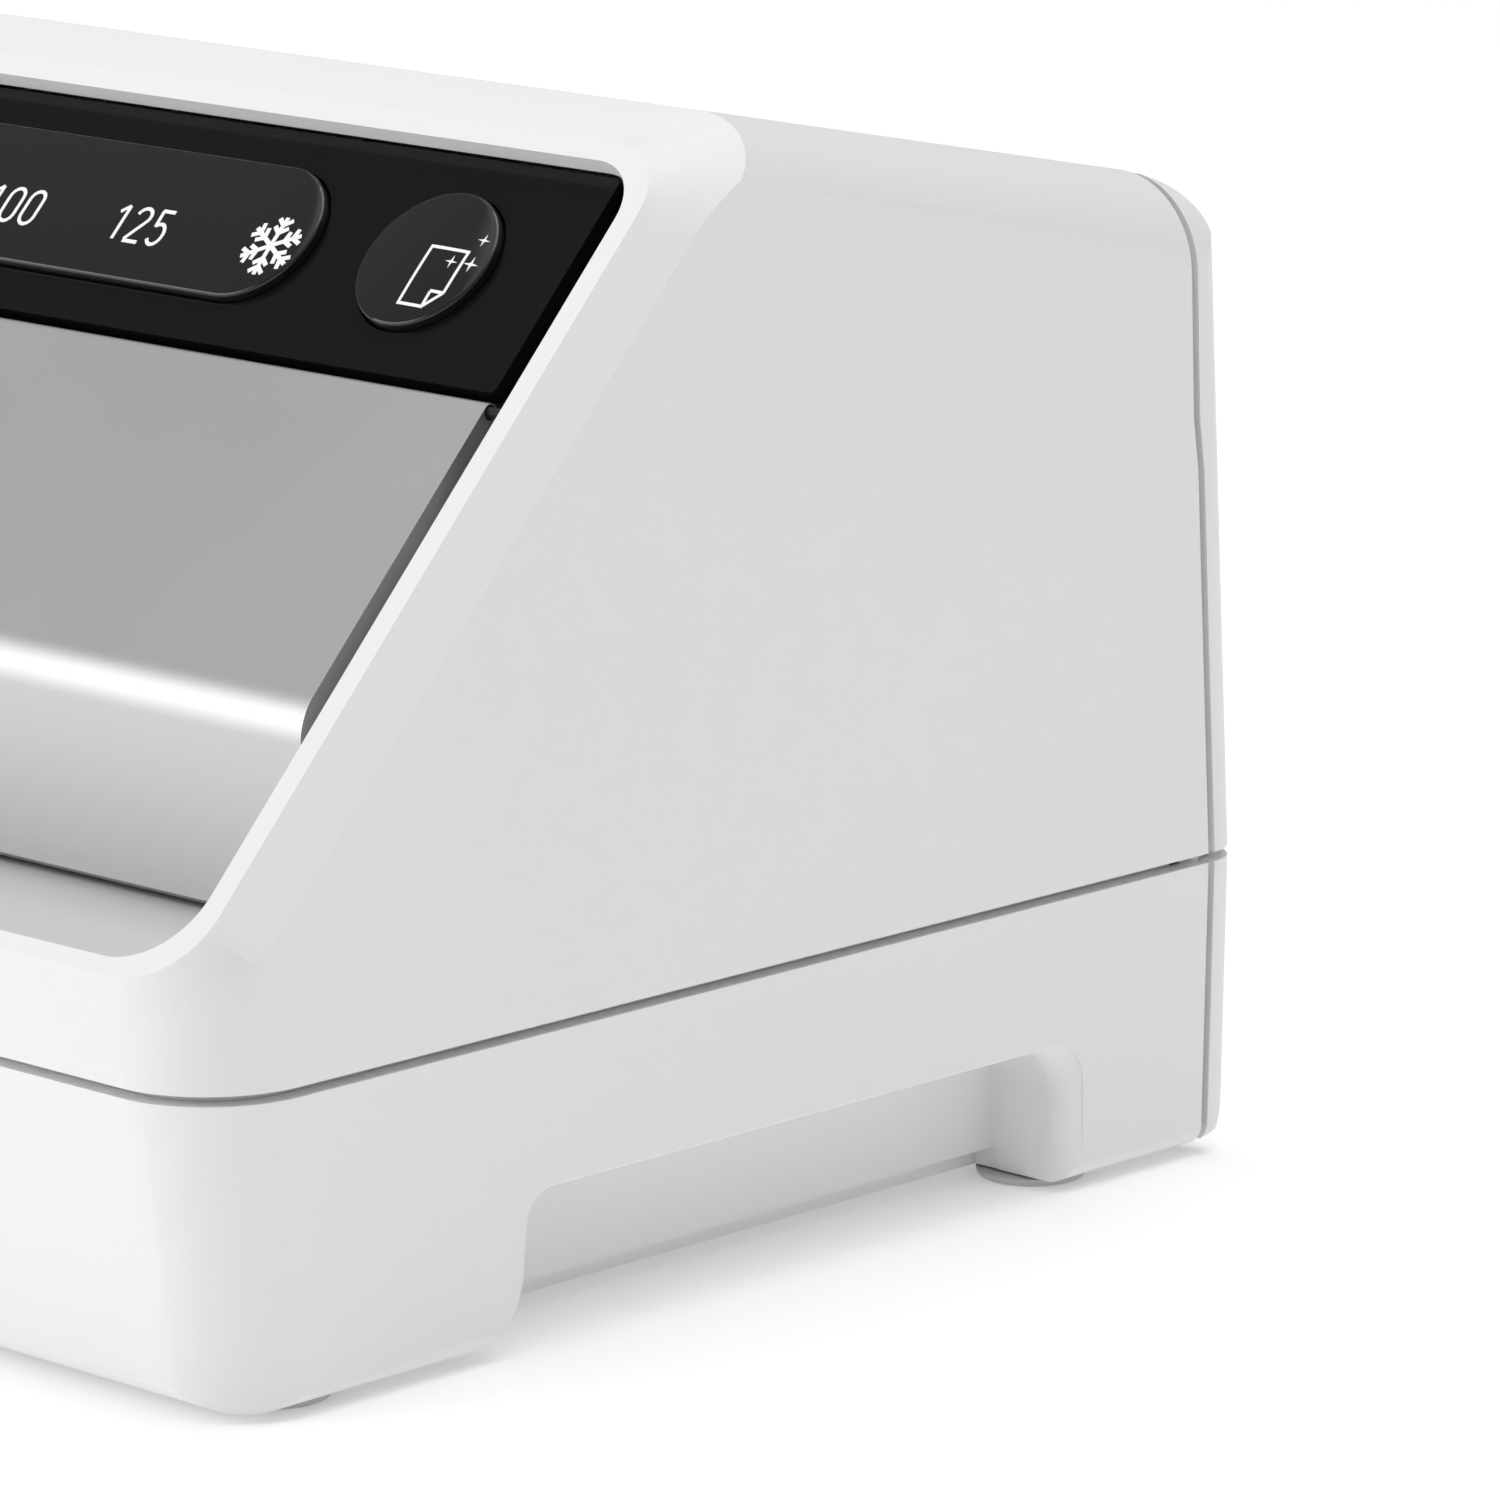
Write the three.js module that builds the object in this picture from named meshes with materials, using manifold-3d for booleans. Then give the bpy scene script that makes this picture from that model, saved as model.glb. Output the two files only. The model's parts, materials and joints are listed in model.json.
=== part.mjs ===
// Pouch laminator: a wide desktop machine with a sloped front, a full-width key panel, a hinged
// entry cover over the pouch slot, and two pairs of driven rollers with heater shoes between them.
// Millimetres, +Z up. The front faces -Y. The origin is on the table, under the middle of the box.
import * as THREE from 'three';
import { mergeVertices } from 'three/addons/utils/BufferGeometryUtils.js';
import Module from 'manifold-3d';

const wasm = await Module();
wasm.setup();

// ---- Driving dimensions -------------------------------------------------------------------------
const width = 430;             // side wall to side wall, at the parting line
const depth = 180;             // front wall to rear cover
const height = 140.6;          // table to the ridge along the top
const partingHeight = 39;      // table to the line where upper and lower housings meet
const wall = 2.5;              // plastic wall
const partingGap = 1.2;        // shadow groove between the shells
const gap = 0.3;               // clearance between pieces that touch
const runGap = 0.25;           // clearance round a turning shaft

const rimLevel = 9.1;          // rim of the sloped front, measured off the 45 degree plane
const sideBevel = 4.8;         // 45 degree bevel between the rim and the side wall
const rimWidth = 3.0;          // flat rim between the bevel and the opening
const rimCorner = 10;          // radius of the rim's outer corners
const frontTilt = 1.08;        // the bevel's front edge stands a little off upright
const upperDraft = 0.05;       // side walls lean in, per millimetre of height
const lowerDraft = 0.02;
const cornerRadius = 14;       // upright front corners
const rearRadius = 7;          // upright rear corners
const roofRadius = 13;         // rounding between roof and side wall
const frontLean = 4.5;         // how far the lower front wall leans back
const topStrip = 9.4;          // depth of the bevel between the sloped front and the ridge
const topRise = 3.17;          // how far that bevel rises
const roofFall = Math.tan(THREE.MathUtils.degToRad(11.55));
const coverSeamY = 172.5;      // seam between housings and rear covers
const footHeight = 1.3;        // clearance under the housing
const footRadius = 7;
const lipDepth = 2.5;          // how far the exit lip stands out at the rear
const lipHeight = 20;

const panelLevel = 6.3;        // face of the key panel and entry cover, off the 45 degree plane
const plateThickness = 2.2;
const plateInset = 5.6;        // side gap between the opening and the plates
const coverTopU = 94;          // top edge of the entry cover, up the slope
const coverBendU = 51.3;       // where the cover bends down
const coverBendRadius = 8;
const seamWidth = 0.9;         // gap between panel and cover
const slotGap = 1.1;           // pouch gap under the cover

const pathHeight = partingHeight + 13.1;  // height of the pouch path
const slotWidth = 330;         // an A3 pouch is 303 wide
const slotRight = width / 2 - 32;
const slotLeft = slotRight - slotWidth;

const keyU = 111;              // middle of the keys, up the slope
const keyRadius = 10;
const keyRise = 1.6;           // how far a key stands out of the panel
const keyTravel = 0.8;
const keyFlange = 1.6;
const roundKeyX = width / 2 - 39;
const pillRightX = width / 2 - 68.9;
const pillLength = 70;         // between the centres of its round ends

const gearTeeth = { hot: 24, exit: 20, idler: 40, pinion: 12 };
const gearFace = 7;
const hotRollerRadius = 12;
const nip = 0.2;               // half the gap between the rollers of a pair
const shaftRadius = 4;
const hotY = 58;               // first roller pair, behind the slot
const shoeThickness = 5;
const plateGauge = 2;          // steel side plates

// ---- Worked-out places --------------------------------------------------------------------------
const root2 = Math.SQRT2;
const toothModule = 2 * (hotRollerRadius + nip) / gearTeeth.hot;
const rimTopU = root2 * (height - partingHeight - topRise) - rimLevel;
const ridgeY = (rimTopU - rimLevel) / root2 + topStrip;
const topTilt = (topStrip + topRise) / (topStrip - topRise);
const openingTopU = rimTopU - rimWidth;
const openingBottomU = rimLevel + rimWidth - 0.2;
const rimBottomU = openingBottomU - rimWidth + 0.68;
const coverFrontY = (coverBendU - panelLevel) / root2 + coverBendRadius / root2 - coverBendRadius;
const hotOffset = toothModule * gearTeeth.hot / 2;
const exitOffset = toothModule * gearTeeth.exit / 2;
const exitRollerRadius = exitOffset - nip;
const hotToIdler = toothModule * (gearTeeth.hot + gearTeeth.idler) / 2;
const idlerToExit = toothModule * (gearTeeth.idler + gearTeeth.exit) / 2;
const stepZ = hotOffset - exitOffset;
const exitY = hotY + Math.sqrt((hotToIdler + idlerToExit) ** 2 - stepZ ** 2);
const idlerShare = hotToIdler / (hotToIdler + idlerToExit);
const idler = { y: hotY + (exitY - hotY) * idlerShare, z: pathHeight - hotOffset + stepZ * idlerShare };
const pinionReach = toothModule * (gearTeeth.idler + gearTeeth.pinion) / 2;
const pinionAngle = -Math.PI / 4;
const pinion = {
  y: idler.y + pinionReach * Math.cos(pinionAngle),
  z: idler.z + pinionReach * Math.sin(pinionAngle),
};
const leftPlateX = slotLeft - 2 - plateGauge;
const rightPlateX = slotRight + 2;
const gearX = leftPlateX - 2 - gearFace;

// ---- Materials ----------------------------------------------------------------------------------
function material(color, roughness, metalness = 0) {
  return new THREE.MeshStandardMaterial({ color, roughness, metalness });
}
const whitePlastic = material(0xe9e9e9, 0.45);
const coverGrey = material(0xb4b4b4, 0.35, 0.2);
const blackGloss = material(0x141414, 0.12);
const darkPlastic = material(0x3a3a3c, 0.6);
const steel = material(0xa8aaad, 0.35, 1);
const aluminium = material(0xc2c4c7, 0.4, 1);
const silicone = material(0xb5522f, 0.7);
const gearPlastic = material(0xe4ddc8, 0.5);
const boardGreen = material(0x1f6b3c, 0.5);
const bronze = material(0xa77b3c, 0.45, 1);
const footRubber = material(0xcfcfcf, 0.8);

// ---- Solids -------------------------------------------------------------------------------------
function solid(geometry) {
  const bare = geometry.index ? geometry.toNonIndexed() : geometry.clone();
  bare.deleteAttribute('normal');
  bare.deleteAttribute('uv');
  const merged = mergeVertices(bare, 1e-4);
  return new wasm.Manifold(new wasm.Mesh({
    numProp: 3,
    vertProperties: new Float32Array(merged.attributes.position.array),
    triVerts: new Uint32Array(merged.index.array),
  }));
}

function geometryOf(body) {
  const mesh = body.getMesh();
  const geometry = new THREE.BufferGeometry();
  geometry.setAttribute('position', new THREE.BufferAttribute(new Float32Array(mesh.vertProperties), 3));
  geometry.setIndex(new THREE.BufferAttribute(new Uint32Array(mesh.triVerts), 1));
  geometry.computeVertexNormals();
  return geometry;
}

function extrude(shape, length, axes, origin, curveSegments = 4) {
  const geometry = new THREE.ExtrudeGeometry(shape, { depth: length, bevelEnabled: false, curveSegments });
  geometry.applyMatrix4(axes.clone().setPosition(...origin));
  return solid(geometry);
}

function basis(x, y, z) {
  return new THREE.Matrix4().makeBasis(
    new THREE.Vector3(...x), new THREE.Vector3(...y), new THREE.Vector3(...z));
}
const sideways = basis([0, 1, 0], [0, 0, 1], [1, 0, 0]);          // shape in Y and Z, length along X
const frontways = basis([1, 0, 0], [0, 0, 1], [0, -1, 0]);        // shape in X and Z, length along -Y
const slopeUp = [0, 1 / root2, 1 / root2];
const slopeOut = [0, -1 / root2, 1 / root2];
const sloped = basis([1, 0, 0], slopeUp, slopeOut);               // shape in X and U, length outwards

// A closed outline through [a, b, radius] corners; radius rounds the corner.
function outline(corners) {
  const shape = new THREE.Shape();
  const count = corners.length;
  corners.forEach(([a, b, radius = 0], index) => {
    const here = new THREE.Vector2(a, b);
    const before = new THREE.Vector2(...corners[(index + count - 1) % count]);
    const after = new THREE.Vector2(...corners[(index + 1) % count]);
    const start = here.clone().add(before.sub(here).setLength(radius));
    const end = here.clone().add(after.sub(here).setLength(radius));
    if (index === 0) shape.moveTo(start.x, start.y);
    else shape.lineTo(start.x, start.y);
    if (radius > 0) shape.quadraticCurveTo(a, b, end.x, end.y);
  });
  shape.closePath();
  return shape;
}

function box(x0, x1, y0, y1, z0, z1) {
  const geometry = new THREE.BoxGeometry(x1 - x0, y1 - y0, z1 - z0);
  geometry.translate((x0 + x1) / 2, (y0 + y1) / 2, (z0 + z1) / 2);
  return solid(geometry);
}

// A round bar or disc along X; sides must match wherever one runs inside another.
function bar(x0, x1, y, z, radius, sides = 16) {
  const geometry = new THREE.CylinderGeometry(radius, radius, x1 - x0, sides);
  geometry.rotateZ(Math.PI / 2).translate((x0 + x1) / 2, y, z);
  return solid(geometry);
}

function post(x, y, z0, z1, radius, sides = 14) {
  const geometry = new THREE.CylinderGeometry(radius, radius, z1 - z0, sides);
  geometry.rotateX(Math.PI / 2).translate(x, y, (z0 + z1) / 2);
  return solid(geometry);
}

const group = new THREE.Group();
group.position.y = -(depth + lipDepth) / 2;
function add(name, body, look) {
  const mesh = new THREE.Mesh(geometryOf(body), look);
  mesh.name = name;
  group.add(mesh);
}

// ---- Outer form ---------------------------------------------------------------------------------
// The whole machine's outer form, drawn in by inset on every face. Its walls lean in above and below the
// parting line; the side and front outlines stand slack outside them and trim only their ends.
const slack = 0.02;
function form(inset) {
  const half = width / 2 - inset;
  const top = height - inset;
  const floor = footHeight + inset;
  const back = depth - inset;
  const round = (radius) => Math.max(radius - inset, 0.5);
  const planRing = (z) => {
    const below = Math.max(partingHeight - z, 0);
    const wallX = half - lowerDraft * below - upperDraft * Math.max(z - partingHeight, 0);
    const near = inset + frontLean * below / (partingHeight - floor);
    const plan = outline([
      [-wallX, near, round(cornerRadius)], [wallX, near, round(cornerRadius)],
      [wallX, back, round(rearRadius)], [-wallX, back, round(rearRadius)],
    ]);
    return plan.getPoints(4).slice(0, -1).map(({ x, y }) => [x, y, z]);
  };
  const roofZ = (y) => top + (ridgeY - y) * roofFall;
  const side = outline([
    [inset - slack, partingHeight], [inset + frontLean - slack, floor, round(5)], [back - 3, floor, round(7)],
    [back, partingHeight], [back - 3, roofZ(back - 3), round(8)], [inset, roofZ(inset)],
  ]);
  const foot = floor - slack;
  const trimHalf = half + slack;
  const lowHalf = trimHalf - lowerDraft * (partingHeight - foot);
  const front = outline([[-lowHalf, foot, round(3)], [lowHalf, foot, round(3)], [trimHalf, partingHeight],
    [trimHalf, height + 30], [-trimHalf, height + 30], [-trimHalf, partingHeight]]);
  const roofHalf = half - upperDraft * (height - partingHeight) + 0.8;
  const roof = outline([[-roofHalf - 40, -200], [roofHalf + 40, -200], [roofHalf + 1, top - 30],
    [roofHalf, top, round(roofRadius)], [-roofHalf, top, round(roofRadius)], [-roofHalf - 1, top - 30]]);
  const alongRoof = basis([1, 0, 0], [0, 0, 1], [0, -1, roofFall]);
  const farY = depth + 20;
  return loft(planRing(-10), planRing(partingHeight), planRing(height + 40))
    .intersect(extrude(side, width + 20, sideways, [-width / 2 - 10, 0, 0]))
    .intersect(extrude(front, depth + 40, frontways, [0, farY, 0]))
    .intersect(extrude(roof, depth + 60, alongRoof, [0, farY, -(farY - ridgeY) * roofFall]))
    .intersect(rimFrame(inset));
}

// Everything below the rim and its bevel: the rim's outline, spread outwards as it goes down. Each
// corner keeps its centre, and its two half-axes grow with the spread of the sides beside it.
function rimFrame(inset) {
  const spread = 200;
  const steps = 6;
  const drawn = inset * (root2 - 1);
  const radius = rimCorner - drawn;
  const ends = [
    { u: rimBottomU + drawn + radius, tilt: frontTilt, turns: [Math.PI, 1.5 * Math.PI, 2 * Math.PI] },
    { u: rimTopU - drawn - radius, tilt: topTilt, turns: [0, 0.5 * Math.PI, Math.PI] },
  ];
  const ring = (out) => ends.flatMap(({ u, tilt, turns }) => [0, 1].flatMap((part) => {
    const hand = Math.cos((turns[part] + turns[part + 1]) / 2) > 0 ? 1 : -1;
    const centreX = hand * (rimEdgeX(u) - drawn - radius);
    return Array.from({ length: steps + 1 }, (_, i) => {
      const turn = turns[part] + (turns[part + 1] - turns[part]) * i / steps;
      return onSlope(centreX + (radius + out) * Math.cos(turn), u + (radius + out * tilt) * Math.sin(turn),
        rimLevel - inset - out);
    });
  }));
  return loft(ring(spread), ring(0));
}

function onSlope(x, u, level) {
  return [x, (u - level) / root2, partingHeight + (u + level) / root2];
}

// A closed solid through convex rings that have the same number of points.
function loft(...rings) {
  const first = rings[0];
  const last = rings[rings.length - 1];
  const faces = [];
  rings.slice(1).forEach((high, layer) => rings[layer].forEach((point, i) => {
    const j = (i + 1) % first.length;
    faces.push([point, rings[layer][j], high[j]], [point, high[j], high[i]]);
  }));
  for (let i = 2; i < first.length; i += 1) {
    faces.push([first[0], first[i], first[i - 1]], [last[0], last[i - 1], last[i]]);
  }
  const geometry = new THREE.BufferGeometry();
  geometry.setAttribute('position', new THREE.Float32BufferAttribute(faces.flat(2), 3));
  return solid(geometry);
}

// Half-width of the rim's outer edge at a place up the slope.
function rimEdgeX(u) {
  const z = (u + rimLevel) / root2;
  return width / 2 - upperDraft * z - sideBevel;
}

// The opening in the sloped front, grown outwards by grow; its sides follow the leaning side walls.
function openingPrism(grow, from, to, lowU = openingBottomU, highU = openingTopU, radius = 11) {
  const edge = (u) => rimEdgeX(u) - rimWidth + grow;
  const low = lowU - grow;
  const high = highU + grow;
  const shape = outline([
    [-edge(low), low, radius], [edge(low), low, radius], [edge(high), high, Math.min(radius, 9)],
    [-edge(high), high, Math.min(radius, 9)],
  ]);
  return extrude(shape, to - from, sloped, [0, -from / root2, partingHeight + from / root2]);
}

// ---- Housings -----------------------------------------------------------------------------------
const outer = form(0);
const cavity = form(wall);
const shell = outer.subtract(cavity);
const big = width;
const halfGap = partingGap / 2;
const aboveParting = box(-big, big, -20, depth + 20, partingHeight + halfGap, height + 20);
const belowParting = box(-big, big, -20, depth + 20, -20, partingHeight - halfGap);
const beforeSeam = box(-big, big, -20, coverSeamY - halfGap, -20, height + 20);
const behindSeam = box(-big, big, coverSeamY + halfGap, depth + 20, -20, height + 20);

const tongueThickness = 1.5;
const tongueReach = 3;         // how far a tongue runs past the seam on each side

// A thin tongue that closes the groove from inside, just within the walls.
function tongue(region) {
  return form(wall + gap).subtract(form(wall + gap + tongueThickness)).intersect(region);
}

// Joins a tongue to its own shell.
function tongueRoot(region) {
  return form(wall - 0.2).subtract(form(wall + gap + tongueThickness)).intersect(region);
}

function feedFloorZ(y) {
  return pathHeight + (coverFrontY - y) * 0.055;
}

// Everything above the feed table's top face, in front of the rollers.
function aboveFeedFloor(lift) {
  const front = -30;
  const above = height * 2;
  const shape = outline([
    [front, feedFloorZ(front) + lift], [hotY, feedFloorZ(hotY) + lift], [hotY, above], [front, above],
  ]);
  return extrude(shape, big * 2, sideways, [-big, 0, 0]);
}

function upperHousing() {
  const collarDepth = 24;
  const inside = form(wall - 0.2);
  const collar = openingPrism(2, -collarDepth, rimLevel - 1).subtract(openingPrism(0, -collarDepth - 1, 30))
    .intersect(inside)
    .intersect(aboveFeedFloor(-1));
  return shell.intersect(aboveParting)
    .intersect(beforeSeam)
    .subtract(openingPrism(0, -collarDepth, 30))
    .add(collar);
}

const grip = { front: 50, rear: 146, top: partingHeight - 20, depth: 13 };
const trayZ = 4;               // underside between the front and rear lobes of a side wall

// The shallow pocket in the underside beside a grip, grown by grow.
function trayPocket(hand, grow) {
  const near = width / 2 - grip.depth - 3 - grow;
  const far = width / 2 - grip.depth + 1;
  const [x0, x1] = hand > 0 ? [near, far] : [-far, -near];
  return box(x0, x1, grip.front + 2 - grow, grip.rear + grow, -20, trayZ + grow);
}

// The hand grip scooped out of the foot of one side wall, grown by grow.
function gripScoop(hand, grow) {
  const low = -10;
  const floor = footHeight - 0.05 + grow;
  const shape = outline([
    [grip.front - 30 - grow, low], [grip.front - 30 - grow, floor], [grip.front + 1 - grow, floor, 10],
    [grip.front + 3 - grow, grip.top + grow, 4], [grip.rear - 0.5 + grow, grip.top + grow, 6],
    [grip.rear + grow, low],
  ]);
  const inner = width / 2 - grip.depth - grow;
  const start = hand > 0 ? inner : -width / 2 - 20;
  return extrude(shape, width / 2 + 20 - inner, sideways, [start, 0, 0]);
}

const screwPlaces = [-1, 1].flatMap((hand) => [34, 162].map((y) => ({ x: hand * (width / 2 - 32), y })));
const screwShank = 1.5;

function lowerHousing() {
  let body = shell.intersect(belowParting).intersect(beforeSeam);
  for (const hand of [-1, 1]) {
    const walls = gripScoop(hand, wall).add(trayPocket(hand, wall));
    body = body.add(walls.intersect(outer).intersect(belowParting))
      .intersect(beforeSeam)
      .subtract(gripScoop(hand, 0).add(trayPocket(hand, 0)));
  }
  for (const place of screwPlaces) {
    body = body.add(post(place.x, place.y, footHeight + wall / 2, 22, 4.5))
      .subtract(post(place.x, place.y, 0, 30, screwShank + gap))
      .subtract(post(place.x, place.y, 0, footHeight + 1.6, 3.4));
  }
  const seam = coverSeamY - 5;
  return body.add(tongueRoot(box(-big, big, 0, seam, partingHeight - 6, partingHeight - 2)))
    .add(tongue(box(-big, big, 0, seam, partingHeight - 3, partingHeight + 4)));
}

const exitSlot = { low: pathHeight - 2.6, high: pathHeight + 2.6 };
const inlet = { x: -width / 2 + 52, z: 17, halfWidth: 10.5, halfHeight: 6.5 };

function inletBlock(y0, y1, grow) {
  const { x, z, halfWidth, halfHeight } = inlet;
  return box(x - halfWidth - grow, x + halfWidth + grow, y0, y1, z - halfHeight - grow, z + halfHeight + grow);
}

function rearCover(upper) {
  const region = upper ? aboveParting : belowParting;
  const edge = partingHeight + (upper ? halfGap : -halfGap);
  const z0 = upper ? edge : -20;
  const z1 = upper ? height + 20 : edge;
  let body = shell.intersect(region).intersect(behindSeam)
    .add(tongueRoot(box(-big, big, coverSeamY + halfGap, coverSeamY + tongueReach, z0, z1)))
    .add(tongue(box(-big, big, coverSeamY - tongueReach, coverSeamY + tongueReach, z0, z1)));
  if (upper) {
    const lipRoot = depth - wall;
    body = body
      .add(box(slotLeft - 8, slotRight + 8, lipRoot, depth + lipDepth, edge, edge + lipHeight))
      .subtract(box(slotLeft, slotRight, lipRoot - 10, depth + 20, exitSlot.low, exitSlot.high));
  } else {
    const innerEdge = coverSeamY + 3.2;
    body = body
      .add(tongueRoot(box(-big, big, innerEdge + 2, depth, partingHeight - 6, partingHeight - 2)))
      .add(tongue(box(-big, big, innerEdge + 2, depth, partingHeight - 3, partingHeight + 4)))
      .subtract(inletBlock(coverSeamY - 10, depth + 9, gap));
  }
  return body;
}

// ---- Panel and keys -----------------------------------------------------------------------------
const panelTopU = openingTopU - gap;

// A level plate in the slope's own frame, from one level to another.
function slopePlate(shape, from, to, curveSegments = 7) {
  return extrude(shape, to - from, sloped, [0, -from / root2, partingHeight + from / root2], curveSegments);
}

function pillShape(rightX, length, radius) {
  const shape = new THREE.Shape();
  shape.absarc(rightX, keyU, radius, -Math.PI / 2, Math.PI / 2);
  shape.absarc(rightX - length, keyU, radius, Math.PI / 2, 3 * Math.PI / 2);
  return shape;
}

const keys = [
  { name: 'mode_key', x: pillRightX, length: pillLength },
  { name: 'clean_key', x: roundKeyX, length: 0.01 },
  { name: 'power_key', x: -roundKeyX, length: 0.01 },
];

function controlPanel() {
  const back = panelLevel - plateThickness;
  const edge = (u) => rimEdgeX(u) - rimWidth - plateInset;
  const low = coverTopU + seamWidth;
  const shape = outline([
    [-edge(low), low, 1], [edge(low), low, 1],
    [edge(panelTopU), panelTopU, 1], [-edge(panelTopU), panelTopU, 1],
  ]);
  let body = slopePlate(shape, back, panelLevel);
  for (const key of keys) {
    body = body.subtract(slopePlate(pillShape(key.x, key.length, keyRadius + gap), back - 1, panelLevel + 1));
  }
  return body;
}

function keyBody(key) {
  const under = panelLevel - plateThickness - gap;
  const shoulder = panelLevel + keyRise - 0.6;
  const cap = slopePlate(pillShape(key.x, key.length, keyRadius), under - keyFlange, shoulder);
  const crown = slopePlate(pillShape(key.x, key.length, keyRadius - 0.8), panelLevel, panelLevel + keyRise);
  const flange = slopePlate(pillShape(key.x, key.length, keyRadius + 1.5), under - keyFlange, under);
  return cap.add(crown).add(flange);
}

function keyBoard() {
  const top = panelLevel - plateThickness - gap - keyFlange - keyTravel - gap;
  const reach = rimEdgeX(keyU) - rimWidth - plateInset - 8;
  const low = keyU - keyRadius - 3;
  const high = keyU + keyRadius + 3;
  const shape = outline([[-reach, low], [reach, low], [reach, high], [-reach, high]]);
  return slopePlate(shape, top - 1.6, top);
}

// ---- Entry cover and feed table -----------------------------------------------------------------
const hingeU = coverTopU - plateThickness / 2;
const hingeLevel = panelLevel - plateThickness / 2;
const hinge = { y: (hingeU - hingeLevel) / root2, z: partingHeight + (hingeU + hingeLevel) / root2 };
const pinRadius = 0.7;
const pinDepth = 8;
const coverEdgeX = rimEdgeX(hingeU) - rimWidth - plateInset;

function coverSection() {
  const slopePoint = (u, n) => new THREE.Vector2((u - n) / root2, partingHeight + (u + n) / root2);
  const centre = slopePoint(coverBendU, panelLevel - coverBendRadius);
  const shape = new THREE.Shape();
  const bottom = feedFloorZ(coverFrontY) + slotGap;
  const topCentre = new THREE.Vector2(hinge.y, hinge.z);
  const inner = coverBendRadius - plateThickness;
  shape.moveTo(coverFrontY + plateThickness, bottom);
  shape.lineTo(coverFrontY, bottom);
  shape.absarc(centre.x, centre.y, coverBendRadius, Math.PI, 0.75 * Math.PI, true);
  shape.absarc(topCentre.x, topCentre.y, plateThickness / 2, 0.75 * Math.PI, -0.25 * Math.PI, true);
  shape.absarc(centre.x, centre.y, inner, 0.75 * Math.PI, Math.PI, false);
  shape.closePath();
  return shape;
}

function entryCover() {
  let body = extrude(coverSection(), width, sideways, [-width / 2, 0, 0], 6)
    .intersect(openingPrism(-plateInset, -80, 40, 0, 140, 1));
  for (const hand of [-1, 1]) {
    const ends = [hand * (coverEdgeX - pinDepth - gap), hand * (coverEdgeX + 6)].sort((a, b) => a - b);
    body = body.subtract(bar(ends[0], ends[1], hinge.y, hinge.z, pinRadius + runGap, 12));
  }
  return body;
}

function coverPin(hand) {
  const ends = [hand * (coverEdgeX - pinDepth), hand * (coverEdgeX + plateInset - 0.8)].sort((a, b) => a - b);
  return bar(ends[0], ends[1], hinge.y, hinge.z, pinRadius, 12);
}

function feedTable() {
  const rear = hotY - hotRollerRadius - 3;
  const thickness = 2.4;
  const shape = outline([
    [0, feedFloorZ(0)], [0, feedFloorZ(0) - thickness],
    [rear, feedFloorZ(rear) - thickness], [rear, feedFloorZ(rear)],
  ]);
  return extrude(shape, width, sideways, [-width / 2, 0, 0])
    .intersect(openingPrism(-gap, -90, 40, openingBottomU, 140));
}

// ---- Rollers, bearings, heaters -----------------------------------------------------------------
const rollers = [['hot', hotY, hotOffset, hotRollerRadius], ['exit', exitY, exitOffset, exitRollerRadius]]
  .flatMap(([pair, y, offset, radius]) => [['lower', -1], ['upper', 1]].map(([level, side]) => (
    { name: `${pair}_roller_${level}`, y, z: pathHeight + side * offset, radius, teeth: gearTeeth[pair] })));
const bushRadius = 7;

function chassisPlate(x) {
  const shape = outline([
    [hotY - 17, 12], [exitY + 17, 12], [exitY + 17, pathHeight + 24, 6], [hotY - 12, pathHeight + 28, 6],
    [hotY - 12, pathHeight - 6], [hotY - 17, pathHeight - 6],
  ]);
  let body = extrude(shape, plateGauge, sideways, [x, 0, 0]);
  for (const roller of rollers) body = body.subtract(bar(x - 5, x + 5, roller.y, roller.z, bushRadius + gap));
  if (x < 0) body = body.subtract(bar(x - 5, x + 5, idler.y, idler.z, shaftRadius + gap));
  return body;
}

function bush(x, roller) {
  const face = x + plateGauge + gap;
  const flangeEnd = x + plateGauge + (x > 0 ? 1.6 : 1.4);
  return bar(x - 0.6, face, roller.y, roller.z, bushRadius)
    .add(bar(face - 0.1, flangeEnd, roller.y, roller.z, bushRadius + 1.5))
    .subtract(bar(x - 9, x + 9, roller.y, roller.z, shaftRadius + runGap));
}

function shaft(roller) {
  return bar(gearX - 1, rightPlateX + plateGauge + 4, roller.y, roller.z, shaftRadius);
}

function sleeve(roller) {
  const left = slotLeft + 2;
  const right = slotRight - 2;
  return bar(left, right, roller.y, roller.z, roller.radius, 24)
    .subtract(bar(left - 1, right + 1, roller.y, roller.z, shaftRadius + gap));
}

// Thin-toothed spur gear: one trapezoid per tooth. phase is the angle of one tooth's middle.
function gear({ y, z }, teeth, phase, bore) {
  const pitch = toothModule * teeth / 2;
  const root = pitch - toothModule * 1.2;
  const tip = pitch + toothModule * 0.85;
  const rootHalf = 0.24 * Math.PI * 2 / teeth;
  const tipHalf = 0.11 * Math.PI * 2 / teeth;
  const shape = new THREE.Shape();
  for (let tooth = 0; tooth < teeth; tooth += 1) {
    const middle = phase + tooth * 2 * Math.PI / teeth;
    const places = [[root, -rootHalf], [tip, -tipHalf], [tip, tipHalf], [root, rootHalf]];
    places.forEach(([radius, turn], index) => {
      const a = radius * Math.cos(middle + turn);
      const b = radius * Math.sin(middle + turn);
      if (tooth === 0 && index === 0) shape.moveTo(a, b);
      else shape.lineTo(a, b);
    });
  }
  shape.closePath();
  return extrude(shape, gearFace, sideways, [gearX, y, z])
    .subtract(bar(gearX - 1, gearX + gearFace + 1, y, z, bore));
}

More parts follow.
